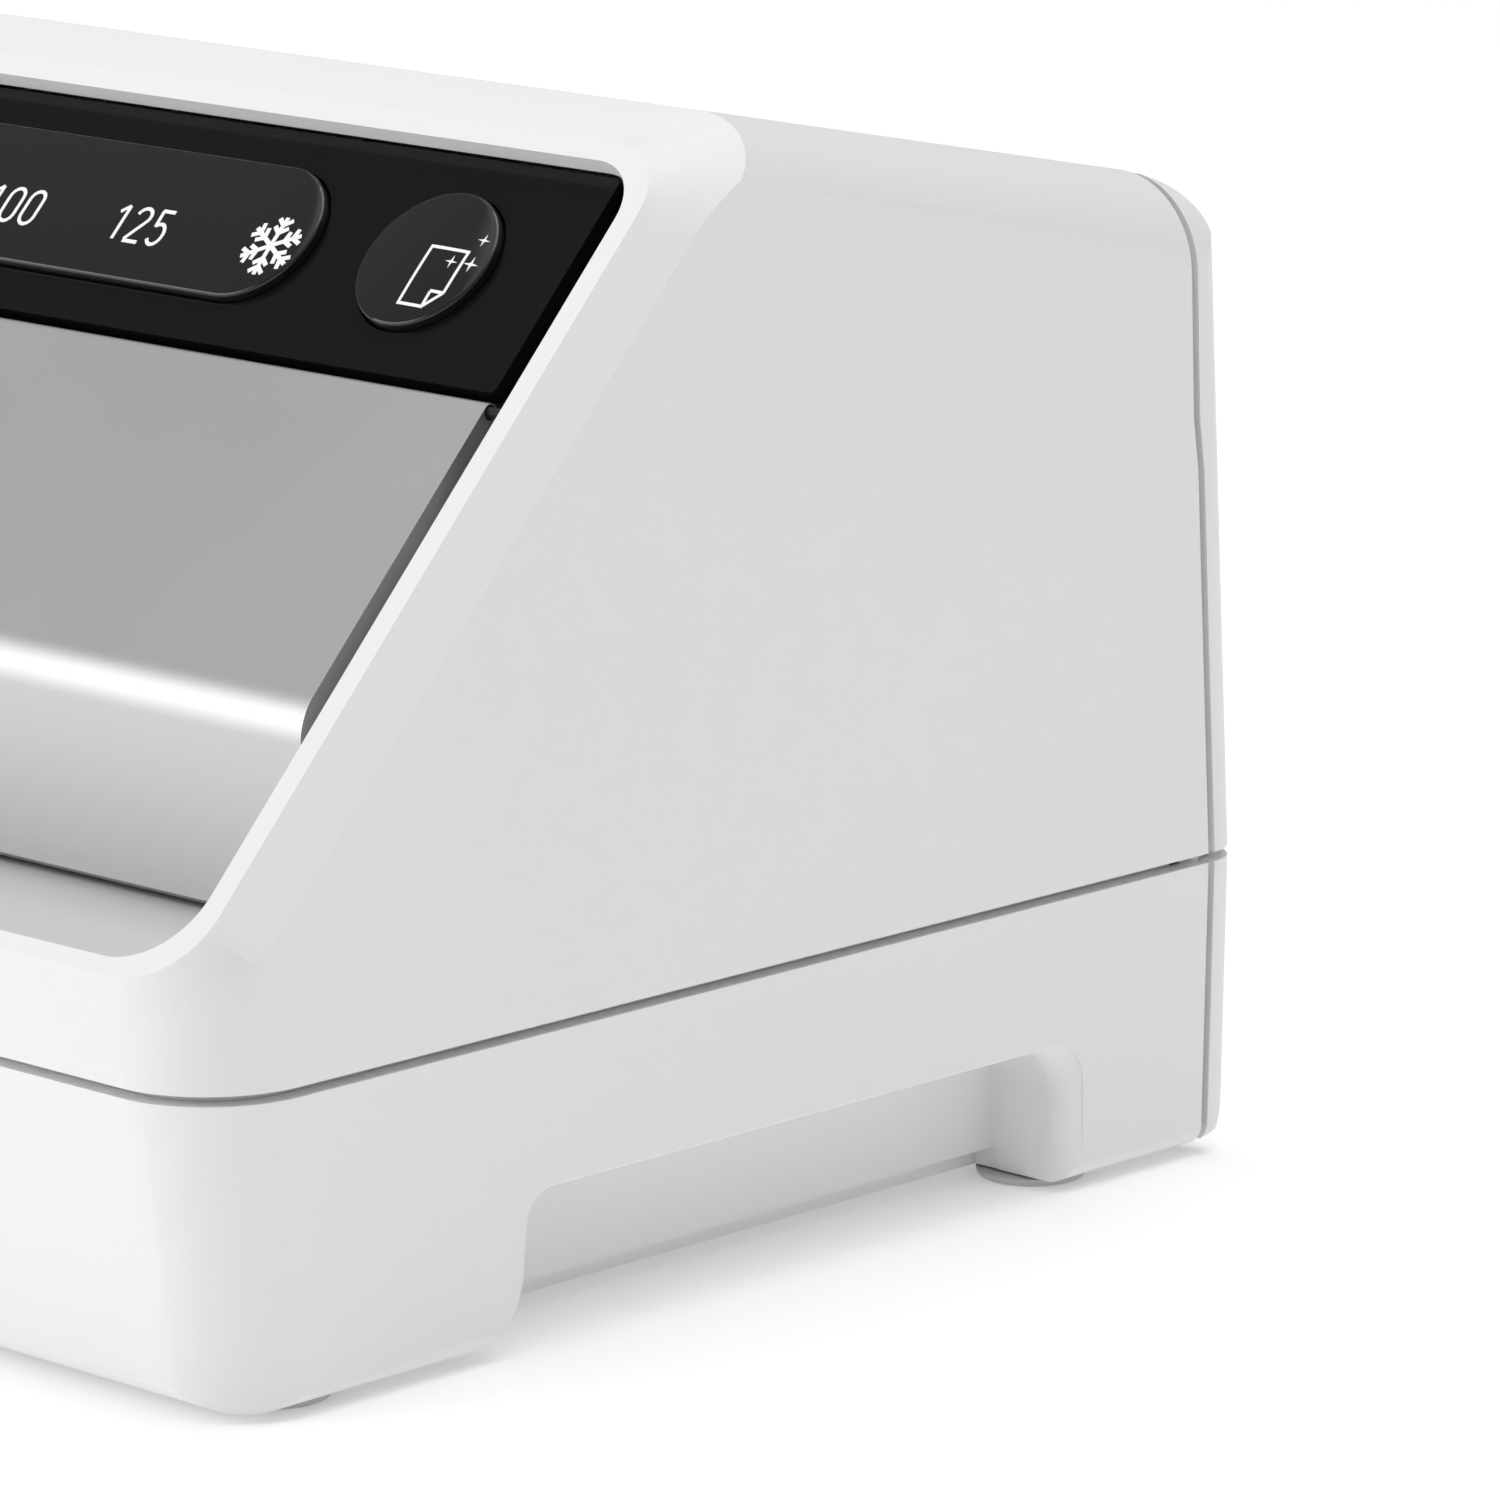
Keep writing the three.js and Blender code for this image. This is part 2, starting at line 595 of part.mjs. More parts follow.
// Angle for a gear that meshes with one whose tooth phase is known, along direction.
function meshPhase(phase, teeth, otherTeeth, direction) {
  const step = 2 * Math.PI / teeth;
  const otherStep = 2 * Math.PI / otherTeeth;
  const share = (direction - phase) / step;
  return direction + Math.PI - otherStep * (0.5 - share);
}

const toIdler = Math.atan2(stepZ, exitY - hotY);
const phases = { hotLower: 0 };
phases.hotUpper = meshPhase(phases.hotLower, gearTeeth.hot, gearTeeth.hot, Math.PI / 2);
phases.idler = meshPhase(phases.hotLower, gearTeeth.hot, gearTeeth.idler, toIdler);
phases.exitLower = meshPhase(phases.idler, gearTeeth.idler, gearTeeth.exit, toIdler);
phases.exitUpper = meshPhase(phases.exitLower, gearTeeth.exit, gearTeeth.exit, Math.PI / 2);
phases.pinion = meshPhase(phases.idler, gearTeeth.idler, gearTeeth.pinion, pinionAngle);
const rollerPhases = [phases.hotLower, phases.hotUpper, phases.exitLower, phases.exitUpper];

const shoe = { front: hotY + hotRollerRadius + 4, rear: exitY - exitRollerRadius - 4, gap: 1.6 };

function heaterShoe(side) {
  const near = pathHeight + side * shoe.gap;
  const far = near + side * shoeThickness;
  const middle = (shoe.front + shoe.rear) / 2;
  const low = Math.min(near, far);
  const high = Math.max(near, far);
  const groove = side > 0 ? [high - 2, high + 1] : [low - 1, low + 2];
  return box(slotLeft + 4, slotRight - 4, shoe.front, shoe.rear, low, high)
    .subtract(box(-big, big, middle - 7, middle + 7, ...groove));
}

function heatingElement(side) {
  const middle = (shoe.front + shoe.rear) / 2;
  const seat = pathHeight + side * (shoe.gap + shoeThickness - 2 + gap);
  const far = seat + side * 1.5;
  return box(slotLeft + 12, slotRight - 12, middle - 6, middle + 6, Math.min(seat, far), Math.max(seat, far));
}

// ---- Drive, electrics, springs ------------------------------------------------------------------
const motorX = gearX - 4;
const motorRadius = 15;
const motorSpindle = 1.6;

function idlerStub() {
  return bar(gearX - 0.5, leftPlateX + plateGauge + 2, idler.y, idler.z, shaftRadius - runGap);
}

function motor() {
  return bar(motorX - 28, motorX - 2.3, pinion.y, pinion.z, motorRadius)
    .add(bar(motorX - 31, motorX - 27, pinion.y, pinion.z, 5))
    .add(bar(motorX - 3, gearX - 0.5, pinion.y, pinion.z, 2.6))
    .add(bar(gearX - 1, gearX + gearFace - 1, pinion.y, pinion.z, motorSpindle));
}

function motorBracket() {
  const reach = motorRadius + 2;
  const front = pinion.y - reach;
  const rear = pinion.y + reach;
  const high = pinion.z + reach;
  const shape = outline([[front, 12], [rear, 12], [rear, high, 4], [front, high, 4]]);
  return extrude(shape, 1.6, sideways, [motorX - 2, 0, 0])
    .add(box(motorX - 32, motorX - 1, front, rear, footHeight + wall + gap, 5.6))
    .add(box(motorX - 2, motorX - 0.4, front, rear, 5, 13))
    .subtract(bar(motorX - 5, motorX + 2, pinion.y, pinion.z, 3.2));
}

class Coil extends THREE.Curve {
  constructor(x, y, z0, z1, radius, turns) {
    super();
    Object.assign(this, { x, y, z0, z1, radius, turns });
  }

  getPoint(t, target = new THREE.Vector3()) {
    const angle = 2 * Math.PI * this.turns * t;
    return target.set(this.x + this.radius * Math.cos(angle), this.y + this.radius * Math.sin(angle),
      this.z0 + (this.z1 - this.z0) * t);
  }
}

const springFoot = pathHeight + hotOffset + hotRollerRadius + 1.6;
const springLength = 9;

function spring(x) {
  const wire = new THREE.Shape();
  wire.absarc(0, 0, 0.6, 0, 2 * Math.PI);
  const coil = new Coil(x, hotY, springFoot, springFoot + springLength, 3.5, 3);
  return solid(new THREE.ExtrudeGeometry(wire, { steps: 30, curveSegments: 3, extrudePath: coil }));
}

function springSeat(x) {
  const top = springFoot + springLength + 1.2;
  return box(x - 5.5, x + 5.5, hotY - 6, hotY + 6, top, top + 1.6);
}

function mainBoard() {
  return box(leftPlateX - 52, leftPlateX - 14, 132, 134, 44, 92);
}

function thermalCutout() {
  const z = pathHeight + shoe.gap + shoeThickness + gap;
  return post(30, shoe.rear - 9, z, z + 4, 6);
}

function powerInlet() {
  const rear = depth - 0.6;
  const front = depth - 16;
  const socketDepth = 9;
  return inletBlock(front, rear, 0).subtract(inletBlock(rear - socketDepth, rear + 5, -2));
}

// Two ribs that carry the finished pouch from the last rollers to the exit slot.
function exitGuide(side) {
  const near = pathHeight + side * 2;
  const far = near + side * 2;
  return box(slotLeft + 1, slotRight - 1, exitY + exitRollerRadius + 2, coverSeamY - 4, Math.min(near, far),
    Math.max(near, far));
}

function screw(place) {
  return post(place.x, place.y, footHeight - 0.2, footHeight + 1.3, 3)
    .add(post(place.x, place.y, footHeight + 1, 20, screwShank));
}

const footPlaces = [-1, 1].flatMap((hand) => [20, 151].map((y) => ({ hand, x: hand * (width / 2 - 11), y })));

// ---- Assembly -----------------------------------------------------------------------------------
add('upper_housing', upperHousing(), whitePlastic);
add('lower_housing', lowerHousing(), whitePlastic);
add('rear_cover_upper', rearCover(true), whitePlastic);
add('rear_cover_lower', rearCover(false), whitePlastic);
add('control_panel', controlPanel(), blackGloss);
for (const key of keys) add(key.name, keyBody(key), blackGloss);
add('key_board', keyBoard(), boardGreen);
add('entry_cover', entryCover(), coverGrey);
add('cover_pin_left', coverPin(-1), steel);
add('cover_pin_right', coverPin(1), steel);
add('feed_table', feedTable(), whitePlastic);
add('chassis_plate_left', chassisPlate(leftPlateX), steel);
add('chassis_plate_right', chassisPlate(rightPlateX), steel);
rollers.forEach((roller, index) => {
  add(`${roller.name}_sleeve`, sleeve(roller), silicone);
  add(`${roller.name}_shaft`, shaft(roller), steel);
  add(`${roller.name}_gear`, gear(roller, roller.teeth, rollerPhases[index], shaftRadius + gap), gearPlastic);
  add(`${roller.name}_bush_left`, bush(leftPlateX, roller), bronze);
  add(`${roller.name}_bush_right`, bush(rightPlateX, roller), bronze);
});
add('idler_stub', idlerStub(), steel);
add('idler_gear', gear(idler, gearTeeth.idler, phases.idler, shaftRadius + runGap), gearPlastic);
add('motor', motor(), steel);
add('motor_pinion', gear(pinion, gearTeeth.pinion, phases.pinion, motorSpindle + gap), bronze);
add('motor_bracket', motorBracket(), steel);
add('heater_shoe_upper', heaterShoe(1), aluminium);
add('heater_shoe_lower', heaterShoe(-1), aluminium);
add('heating_element_upper', heatingElement(1), bronze);
add('heating_element_lower', heatingElement(-1), bronze);
add('thermal_cutout', thermalCutout(), darkPlastic);
add('exit_guide_upper', exitGuide(1), darkPlastic);
add('exit_guide_lower', exitGuide(-1), darkPlastic);
add('pressure_spring_right', spring(rightPlateX - 9), steel);
add('spring_seat_right', springSeat(rightPlateX - 9), steel);
add('main_board', mainBoard(), boardGreen);
add('power_inlet', powerInlet(), darkPlastic);
for (const place of footPlaces) {
  const name = `foot_${place.y < 90 ? 'front' : 'rear'}_${place.hand < 0 ? 'left' : 'right'}`;
  add(name, post(place.x, place.y, 0, footHeight - gap, footRadius, 20), footRubber);
}
for (const place of screwPlaces) {
  const name = `case_screw_${place.y < 90 ? 'front' : 'rear'}_${place.x < 0 ? 'left' : 'right'}`;
  add(name, screw(place), steel);
}

export default group;
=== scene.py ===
import json

import bmesh
import bpy
import numpy as np
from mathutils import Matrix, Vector


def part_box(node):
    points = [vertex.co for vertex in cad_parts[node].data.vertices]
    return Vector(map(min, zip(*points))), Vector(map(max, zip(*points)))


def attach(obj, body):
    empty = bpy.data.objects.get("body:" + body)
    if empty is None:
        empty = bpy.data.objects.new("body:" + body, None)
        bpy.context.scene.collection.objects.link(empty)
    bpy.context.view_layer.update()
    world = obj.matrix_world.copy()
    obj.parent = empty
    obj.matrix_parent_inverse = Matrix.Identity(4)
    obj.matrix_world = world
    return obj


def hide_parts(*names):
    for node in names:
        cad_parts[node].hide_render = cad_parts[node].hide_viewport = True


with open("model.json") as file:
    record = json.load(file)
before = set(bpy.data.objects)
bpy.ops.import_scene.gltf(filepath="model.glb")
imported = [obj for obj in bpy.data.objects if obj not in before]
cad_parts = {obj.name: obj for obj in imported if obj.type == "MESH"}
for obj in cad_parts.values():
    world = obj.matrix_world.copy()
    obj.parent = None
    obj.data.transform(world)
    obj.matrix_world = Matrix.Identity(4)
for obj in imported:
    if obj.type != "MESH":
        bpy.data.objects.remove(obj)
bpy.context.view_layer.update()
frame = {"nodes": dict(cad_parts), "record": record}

# ---- Floor, light and camera --------------------------------------------------------------------
# A pale studio table under even light: one large soft source at the front left, one overhead and a
# weaker one at the right, so the front faces are brightest and the right-hand side is a shade darker.
scene = bpy.context.scene
scene.view_settings.view_transform = "Standard"


def shader_material(name, color, roughness, metallic=0.0):
    """A principled material with its plain values set on the shader itself."""
    made = bpy.data.materials.new(name)
    made.use_nodes = True
    shader = made.node_tree.nodes["Principled BSDF"]
    shader.inputs["Base Color"].default_value = (*color, 1)
    shader.inputs["Roughness"].default_value = roughness
    shader.inputs["Metallic"].default_value = metallic
    return made, made.node_tree, shader


def speckle(tree, shader, color, spread, scale, depth, base_roughness, roughness_spread):
    """Fine moulded grain: noise on Object coordinates bumps the surface, and a broader noise shifts
    colour and roughness a little to either side of their plain values."""
    nodes, links = tree.nodes, tree.links
    place = nodes.new("ShaderNodeTexCoord")
    grain = nodes.new("ShaderNodeTexNoise")
    grain.inputs["Scale"].default_value = scale
    grain.inputs["Detail"].default_value = 3
    links.new(place.outputs["Object"], grain.inputs["Vector"])
    bump = nodes.new("ShaderNodeBump")
    bump.inputs["Strength"].default_value = 0.35
    bump.inputs["Distance"].default_value = depth
    links.new(grain.outputs["Fac"], bump.inputs["Height"])
    links.new(bump.outputs["Normal"], shader.inputs["Normal"])
    broad = nodes.new("ShaderNodeTexNoise")
    broad.inputs["Scale"].default_value = 18
    broad.inputs["Detail"].default_value = 2
    links.new(place.outputs["Object"], broad.inputs["Vector"])
    tint = nodes.new("ShaderNodeMix")
    tint.data_type = "RGBA"
    tint.inputs["A"].default_value = (*[c * (1 - spread) for c in color], 1)
    tint.inputs["B"].default_value = (*[min(c * (1 + spread), 1) for c in color], 1)
    links.new(broad.outputs["Fac"], tint.inputs["Factor"])
    links.new(tint.outputs["Result"], shader.inputs["Base Color"])
    rough = nodes.new("ShaderNodeMapRange")
    rough.inputs["To Min"].default_value = base_roughness - roughness_spread
    rough.inputs["To Max"].default_value = base_roughness + roughness_spread
    links.new(broad.outputs["Fac"], rough.inputs["Value"])
    links.new(rough.outputs["Result"], shader.inputs["Roughness"])


def moulded(name, color, roughness, grain=5200, depth=0.00003, metallic=0.0):
    """Plastic or painted finish with the grain its mould leaves."""
    made, tree, shader = shader_material(name, color, roughness, metallic)
    tint_spread, roughness_spread = 0.012, 0.04
    speckle(tree, shader, color, tint_spread, grain, depth, roughness, roughness_spread)
    return made


def shader_of(material):
    """The principled shader of a finished material."""
    return material.node_tree.nodes["Principled BSDF"]


floor_mesh = bpy.data.meshes.new("studio_floor")
floor_reach = 6.0
floor_mesh.from_pydata([(-floor_reach, -floor_reach, 0), (floor_reach, -floor_reach, 0),
                        (floor_reach, floor_reach, 0), (-floor_reach, floor_reach, 0)], [], [(0, 1, 2, 3)])
floor = bpy.data.objects.new("studio_floor", floor_mesh)
scene.collection.objects.link(floor)
floor_white, _, floor_shader = shader_material("studio_floor", (0.95, 0.95, 0.95), 0.9)
floor_shader.inputs["Emission Color"].default_value = (1, 1, 1, 1)
floor_shader.inputs["Emission Strength"].default_value = 0.19
floor_mesh.materials.append(floor_white)

world = bpy.data.worlds.new("studio_air")
world.use_nodes = True
sky = world.node_tree.nodes
sky["Background"].inputs["Strength"].default_value = 1.0
heading, height_of, shade = (sky.new(kind) for kind in
                             ("ShaderNodeTexCoord", "ShaderNodeSeparateXYZ", "ShaderNodeValToRGB"))
world.node_tree.links.new(heading.outputs["Generated"], height_of.inputs["Vector"])
world.node_tree.links.new(height_of.outputs["Z"], shade.inputs["Fac"])
world.node_tree.links.new(shade.outputs["Color"], sky["Background"].inputs["Color"])
bands = shade.color_ramp
bands.elements[0].position, bands.elements[0].color = 0.0, (1, 1, 1, 1)
bands.elements[1].position, bands.elements[1].color = 1.0, (0.8, 0.8, 0.8, 1)
for height, light in ((0.06, 0.36), (0.745, 0.32), (0.765, 0.95)):
    bands.elements.new(height).color = (light, light, light, 1)
scene.world = world


def softbox(name, place, target, size, power):
    """A square lamp at place, facing target."""
    data = bpy.data.lights.new(name, "AREA")
    data.shape = "RECTANGLE"
    data.size, data.size_y = size
    data.energy = power
    lamp = bpy.data.objects.new(name, data)
    lamp.location = place
    lamp.rotation_euler = (Vector(target) - Vector(place)).to_track_quat("-Z", "Y").to_euler()
    scene.collection.objects.link(lamp)


softbox("front_left_softbox", (-1.1, -1.6, 0.75), (0, 0, 0.06), (1.6, 1.2), 17)
softbox("overhead_softbox", (0.2, 0.35, 1.9), (0, 0, 0), (1.6, 1.6), 15)
softbox("right_fill", (1.9, 0.2, 0.7), (0, 0, 0.06), (1.0, 1.0), 0.5)

front_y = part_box("lower_housing")[0][1] * 1000
side_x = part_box("lower_housing")[1][0] * 1000
upper_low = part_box("upper_housing")[0][2] * 1000
camera_turn, camera_dip = np.radians(43.56), np.radians(12.63)
camera_data = bpy.data.cameras.new("camera")
camera_data.sensor_width = 36
camera_data.lens = 202.67
camera = bpy.data.objects.new("camera", camera_data)
camera.location = ((side_x + 671.4) / 1000, (front_y - 618.1) / 1000, (upper_low + 245.3) / 1000)
camera.rotation_euler = (np.pi / 2 - camera_dip, 0, camera_turn)
scene.collection.objects.link(camera)
scene.camera = camera

# ---- Upper housing ------------------------------------------------------------------------------
# One moulding in satin white plastic: side walls, sloped front with its bevelled rim, the bevel up to
# the ridge and the roof. It drops over the lower housing, and a collar runs in from the rim.
# Sizes here and below are millimetres; y counts from the front wall and z from the table.
half_width = side_x
half_groove = 0.6
parting = upper_low - half_groove
wall = 2.5
top_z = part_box("upper_housing")[1][2] * 1000
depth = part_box("rear_cover_lower")[1][1] * 1000 - front_y
seam_y = depth - 7.5
base_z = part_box("lower_housing")[0][2] * 1000
rim_level, side_bevel, rim_width, rim_radius = 9.1, 4.8, 3.0, 10.0
upper_draft, lower_draft = 0.05, 0.02
front_radius, rear_radius = 14, 7
roof_radius, front_lean, rear_lean, front_tilt = 12, 4.5, 3, 1.08
top_strip, top_rise = 9.4, 3.17
roof_fall = np.tan(np.radians(11.55))
root2 = np.sqrt(2)
rim_high = root2 * (top_z - parting - top_rise) - rim_level
ridge_y = (rim_high - rim_level) / root2 + top_strip
top_tilt = (top_strip + top_rise) / (top_strip - top_rise)
opening_low, opening_high = rim_level + rim_width - 0.2, rim_high - rim_width
rim_low = opening_low - rim_width + 0.68
X_AXIS, Y_AXIS, Z_AXIS = np.eye(3)
BIG = 500
UP_SLOPE = np.array([0, 1, 1]) / root2
OFF_SLOPE = np.array([0, -1, 1]) / root2


def rounded(corners, steps=10):
    """Outline through (a, b, radius) corners, each rounded by a true arc that touches both sides:
    centre = corner + radius / sin(half angle) along the bisector; its points step evenly in angle."""
    corners = [(*c, 0)[:3] for c in corners]
    rows = []
    for index, (a, b, radius) in enumerate(corners):
        here = np.array([a, b], float)
        back = np.array(corners[index - 1][:2]) - here
        ahead = np.array(corners[(index + 1) % len(corners)][:2]) - here
        back, ahead = back / np.linalg.norm(back), ahead / np.linalg.norm(ahead)
        if radius <= 0:
            rows.append(here[None])
            continue
        half_angle = np.arccos(np.clip(back @ ahead, -1, 1)) / 2
        bisector = (back + ahead) / np.linalg.norm(back + ahead)
        centre = here + bisector * radius / np.sin(half_angle)
        first = here + back * radius / np.tan(half_angle) - centre
        last = here + ahead * radius / np.tan(half_angle) - centre
        start = np.arctan2(first[1], first[0])
        sweep = (np.arctan2(last[1], last[0]) - start + np.pi) % (2 * np.pi) - np.pi
        angle = start + sweep * np.linspace(0, 1, steps + 1)
        rows.append(centre + radius * np.stack([np.cos(angle), np.sin(angle)], 1))
    return np.concatenate(rows)


def object_from(name, points, faces):
    """An object at the origin, from millimetre points in the maker's frame."""
    places = (np.asarray(points, float) + [0, front_y, 0]) / 1000
    data = bpy.data.meshes.new(name)
    data.from_pydata(places.tolist(), [], faces)
    made = bpy.data.objects.new(name, data)
    scene.collection.objects.link(made)
    return made


def outward(made):
    """Turns every face outwards."""
    net = bmesh.new()
    net.from_mesh(made.data)
    bmesh.ops.recalc_face_normals(net, faces=net.faces)
    net.to_mesh(made.data)
    net.free()
    return made


def prism(outline, axes, origin, length):
    """Outline (a, b) carried straight: point = origin + a * first axis + b * second axis, and the
    far ring adds length * third axis."""
    first, second, third = axes
    near = origin + outline[:, :1] * first + outline[:, 1:2] * second
    rings = np.concatenate([near, near + np.asarray(third) * length])
    count = len(outline)
    ring = np.arange(count)
    sides = np.stack([ring, (ring + 1) % count, (ring + 1) % count + count, ring + count], 1)
    faces = sides.tolist() + [ring[::-1].tolist(), (ring + count).tolist()]
    return outward(object_from("blank", rings, faces))


def block(x0, x1, y0, y1, z0, z1):
    """A straight-sided blank between two corners."""
    outline = np.array([(x0, y0), (x1, y0), (x1, y1), (x0, y1)], float)
    return prism(outline, (X_AXIS, Y_AXIS, Z_AXIS), np.array([0, 0, z0]), z1 - z0)


def shape_with(base, tool, how, keep_tool=False):
    """Cuts, joins or trims base by tool, as a mould maker's blanks are worked."""
    step = base.modifiers.new("step", "BOOLEAN")
    step.object = tool
    step.operation = how
    step.solver = "MANIFOLD"
    worked = bpy.data.meshes.new_from_object(base.evaluated_get(bpy.context.evaluated_depsgraph_get()))
    base.modifiers.clear()
    base.data = worked
    if not keep_tool:
        bpy.data.objects.remove(tool)
    return base


def copy_of(made):
    """A second blank of the same shape."""
    twin = bpy.data.objects.new("blank", made.data.copy())
    scene.collection.objects.link(twin)
    return twin


def rim_edge_x(u):
    """Half-width of the rim's outer edge at u up the slope, on the leaning side wall."""
    return half_width - upper_draft * (u + rim_level) / root2 - side_bevel


def on_slope_points(outline, level):
    """Places of (x, u) points off the slope, at one level or at a level for each."""
    origin = np.array([0, 0, parting])
    return origin + outline[:, :1] * X_AXIS + outline[:, 1:] * UP_SLOPE + level * OFF_SLOPE


def lofted(rings):
    """A closed blank through rings of equal count, each joined to the next point by point."""
    count, layers = len(rings[0]), len(rings)
    ring = np.arange(count)
    row = np.arange(layers - 1)[:, None] * count
    after = (ring + 1) % count
    sides = np.stack([row + ring, row + after, row + after + count, row + ring + count], -1)
    faces = sides.reshape(-1, 4).tolist() + [ring[::-1].tolist(), (ring + (layers - 1) * count).tolist()]
    return outward(object_from("blank", np.concatenate(rings), faces))


def rim_frame(inset, steps):
    """All that lies below the rim and its bevel. The rim's outline spreads as it goes down: each corner
    keeps its centre, x = centre + (radius + out) cos t, u = centre + (radius + out * tilt) sin t."""
    drawn = inset * (root2 - 1)
    radius = rim_radius - drawn
    turn = np.linspace(0, np.pi / 2, 2 * steps + 1)
    low_u, high_u = rim_low + drawn + radius, rim_high - drawn - radius
    ends = [(low_u, front_tilt, turn + np.pi, -1), (low_u, front_tilt, turn + 1.5 * np.pi, 1),
            (high_u, top_tilt, turn, 1), (high_u, top_tilt, turn + np.pi / 2, -1)]
    full_spread = 200
    rings = []
    for out in (full_spread, 0):
        corners = [np.stack([hand * (rim_edge_x(u) - drawn - radius) + (radius + out) * np.cos(angle),
                             u + (radius + out * tilt) * np.sin(angle)], 1)
                   for u, tilt, angle, hand in ends]
        rings.append(on_slope_points(np.concatenate(corners), rim_level - inset - out))
    return lofted(rings)


def outer_form(inset, steps=16):
    """The machine's outer form drawn in by inset: walls lofted through the plan at three levels, trimmed by
    the side, front and roof outlines carried straight through, and by the rim frame."""
    half = half_width - inset
    top, floor_z, back = top_z - inset, base_z + inset, depth - inset

    def arc(radius):
        return max(radius - inset, 0.5)

    def roof_z(y):
        return top + (ridge_y - y) * roof_fall

    def plan_ring(z):
        below = max(parting - z, 0)
        wall_x = half - lower_draft * below - upper_draft * max(z - parting, 0)
        near = inset + front_lean * below / (parting - floor_z)
        plan = rounded([(-wall_x, near, arc(front_radius)), (wall_x, near, arc(front_radius)),
                        (wall_x, back, arc(rear_radius)), (-wall_x, back, arc(rear_radius))], steps)
        return np.column_stack([plan, np.full(len(plan), z)])

    slack = 0.02
    lean_y = back - rear_lean
    side = rounded([(inset - slack, parting), (inset + front_lean - slack, floor_z, arc(5)),
                    (lean_y, floor_z, arc(7)), (back, parting), (lean_y, roof_z(lean_y), arc(7)),
                    (inset, roof_z(inset))], steps)
    foot_z, trim_half = floor_z - slack, half + slack
    low_half = trim_half - lower_draft * (parting - foot_z)
    front = rounded([(-low_half, foot_z, arc(3)), (low_half, foot_z, arc(3)), (trim_half, parting),
                     (trim_half, top_z + 30), (-trim_half, top_z + 30), (-trim_half, parting)], 8)
    roof_half = half - upper_draft * (top_z - parting) + 0.8
    roof = rounded([(-roof_half - 40, -200), (roof_half + 40, -200), (roof_half + 1, top - 30),
                    (roof_half, top, arc(roof_radius)), (-roof_half, top, arc(roof_radius)),
                    (-roof_half - 1, top - 30)], steps)
    far_y = depth + 20
    made = lofted([plan_ring(-10.0), plan_ring(parting), plan_ring(top_z + 40)])
    shape_with(made, prism(side, (Y_AXIS, Z_AXIS, X_AXIS), np.array([-half_width - 10, 0, 0]),
                           2 * half_width + 20), "INTERSECT")
    shape_with(made, prism(front, (X_AXIS, Z_AXIS, -Y_AXIS), np.array([0, far_y, 0]), far_y + 20),
               "INTERSECT")
    shape_with(made, prism(roof, (X_AXIS, Z_AXIS, np.array([0, -1, roof_fall])),
                           np.array([0, far_y, -(far_y - ridge_y) * roof_fall]), far_y + 40), "INTERSECT")
    return shape_with(made, rim_frame(inset, steps), "INTERSECT")


def behind_seam(shift):
    """Everything behind the rear seam, moved back by shift."""
    return block(-BIG, BIG, seam_y + shift, BIG, -20, BIG)


def opening(grow, low, high, radius=10, low_u=opening_low, high_u=opening_high):
    """The opening in the slope, grown by grow and carried from one level off the slope to another."""
    low_u, high_u = low_u - grow, high_u + grow
    low_x = rim_edge_x(low_u) - rim_width + grow
    high_x = rim_edge_x(high_u) - rim_width + grow
    outline = rounded([(-low_x, low_u, radius), (low_x, low_u, radius), (high_x, high_u, min(radius, 8)),
                       (-high_x, high_u, min(radius, 8))], 14)
    return lofted([on_slope_points(outline, low), on_slope_points(outline, high)])


panel_level, bend_u, bend_radius = 6.3, 51.3, 8.0
feed_fall = 0.055
cover_face_y = (bend_u - panel_level) / root2 + bend_radius / root2 - bend_radius
path_z = parting + 13.1


def feed_floor_z(y):
    """Height of the feed table's face, which falls gently to the rear."""
    return path_z + (cover_face_y - y) * feed_fall


def above_feed_floor(lift):
    """Everything above the feed table's face, from before the machine to behind the slot."""
    near, far = -30, 58
    outline = np.array([(near, feed_floor_z(near) + lift), (far, feed_floor_z(far) + lift), (far, 300),
                        (near, 300)])
    return prism(outline, (Y_AXIS, Z_AXIS, X_AXIS), np.array([-BIG, 0, 0]), 2 * BIG)


def softened(made, width=0.25):
    """Breaks the sharp edges as a mould does, with a bevel of width in millimetres."""
    net = bmesh.new()
    net.from_mesh(made.data)
    bmesh.ops.remove_doubles(net, verts=net.verts, dist=2e-6)
    bmesh.ops.dissolve_limit(net, angle_limit=np.radians(0.15), verts=net.verts, edges=net.edges)
    net.to_mesh(made.data)
    net.free()
    if width:
        edge = made.modifiers.new("edge", "BEVEL")
        edge.width = width / 1000
        edge.segments = 2
        edge.limit_method = "ANGLE"
        edge.angle_limit = np.radians(28)
        edge.use_clamp_overlap = True
        edge.harden_normals = False
        worked = bpy.data.meshes.new_from_object(made.evaluated_get(bpy.context.evaluated_depsgraph_get()))
        made.modifiers.clear()
        made.data = worked
    made.data.shade_smooth()
    made.data.set_sharp_from_angle(angle=np.radians(32))
    weigh = made.modifiers.new("weigh", "WEIGHTED_NORMAL")
    weigh.keep_sharp = True
    return made


def fit(made, name, material, body, slot_name, *nodes):
    """Names a finished piece, gives it its finish, and says what it rides on and stands for."""
    made.name = made.data.name = name
    made.data.materials.clear()
    made.data.materials.append(material)
    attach(made, body)
    if nodes:
        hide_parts(*nodes)
    return made


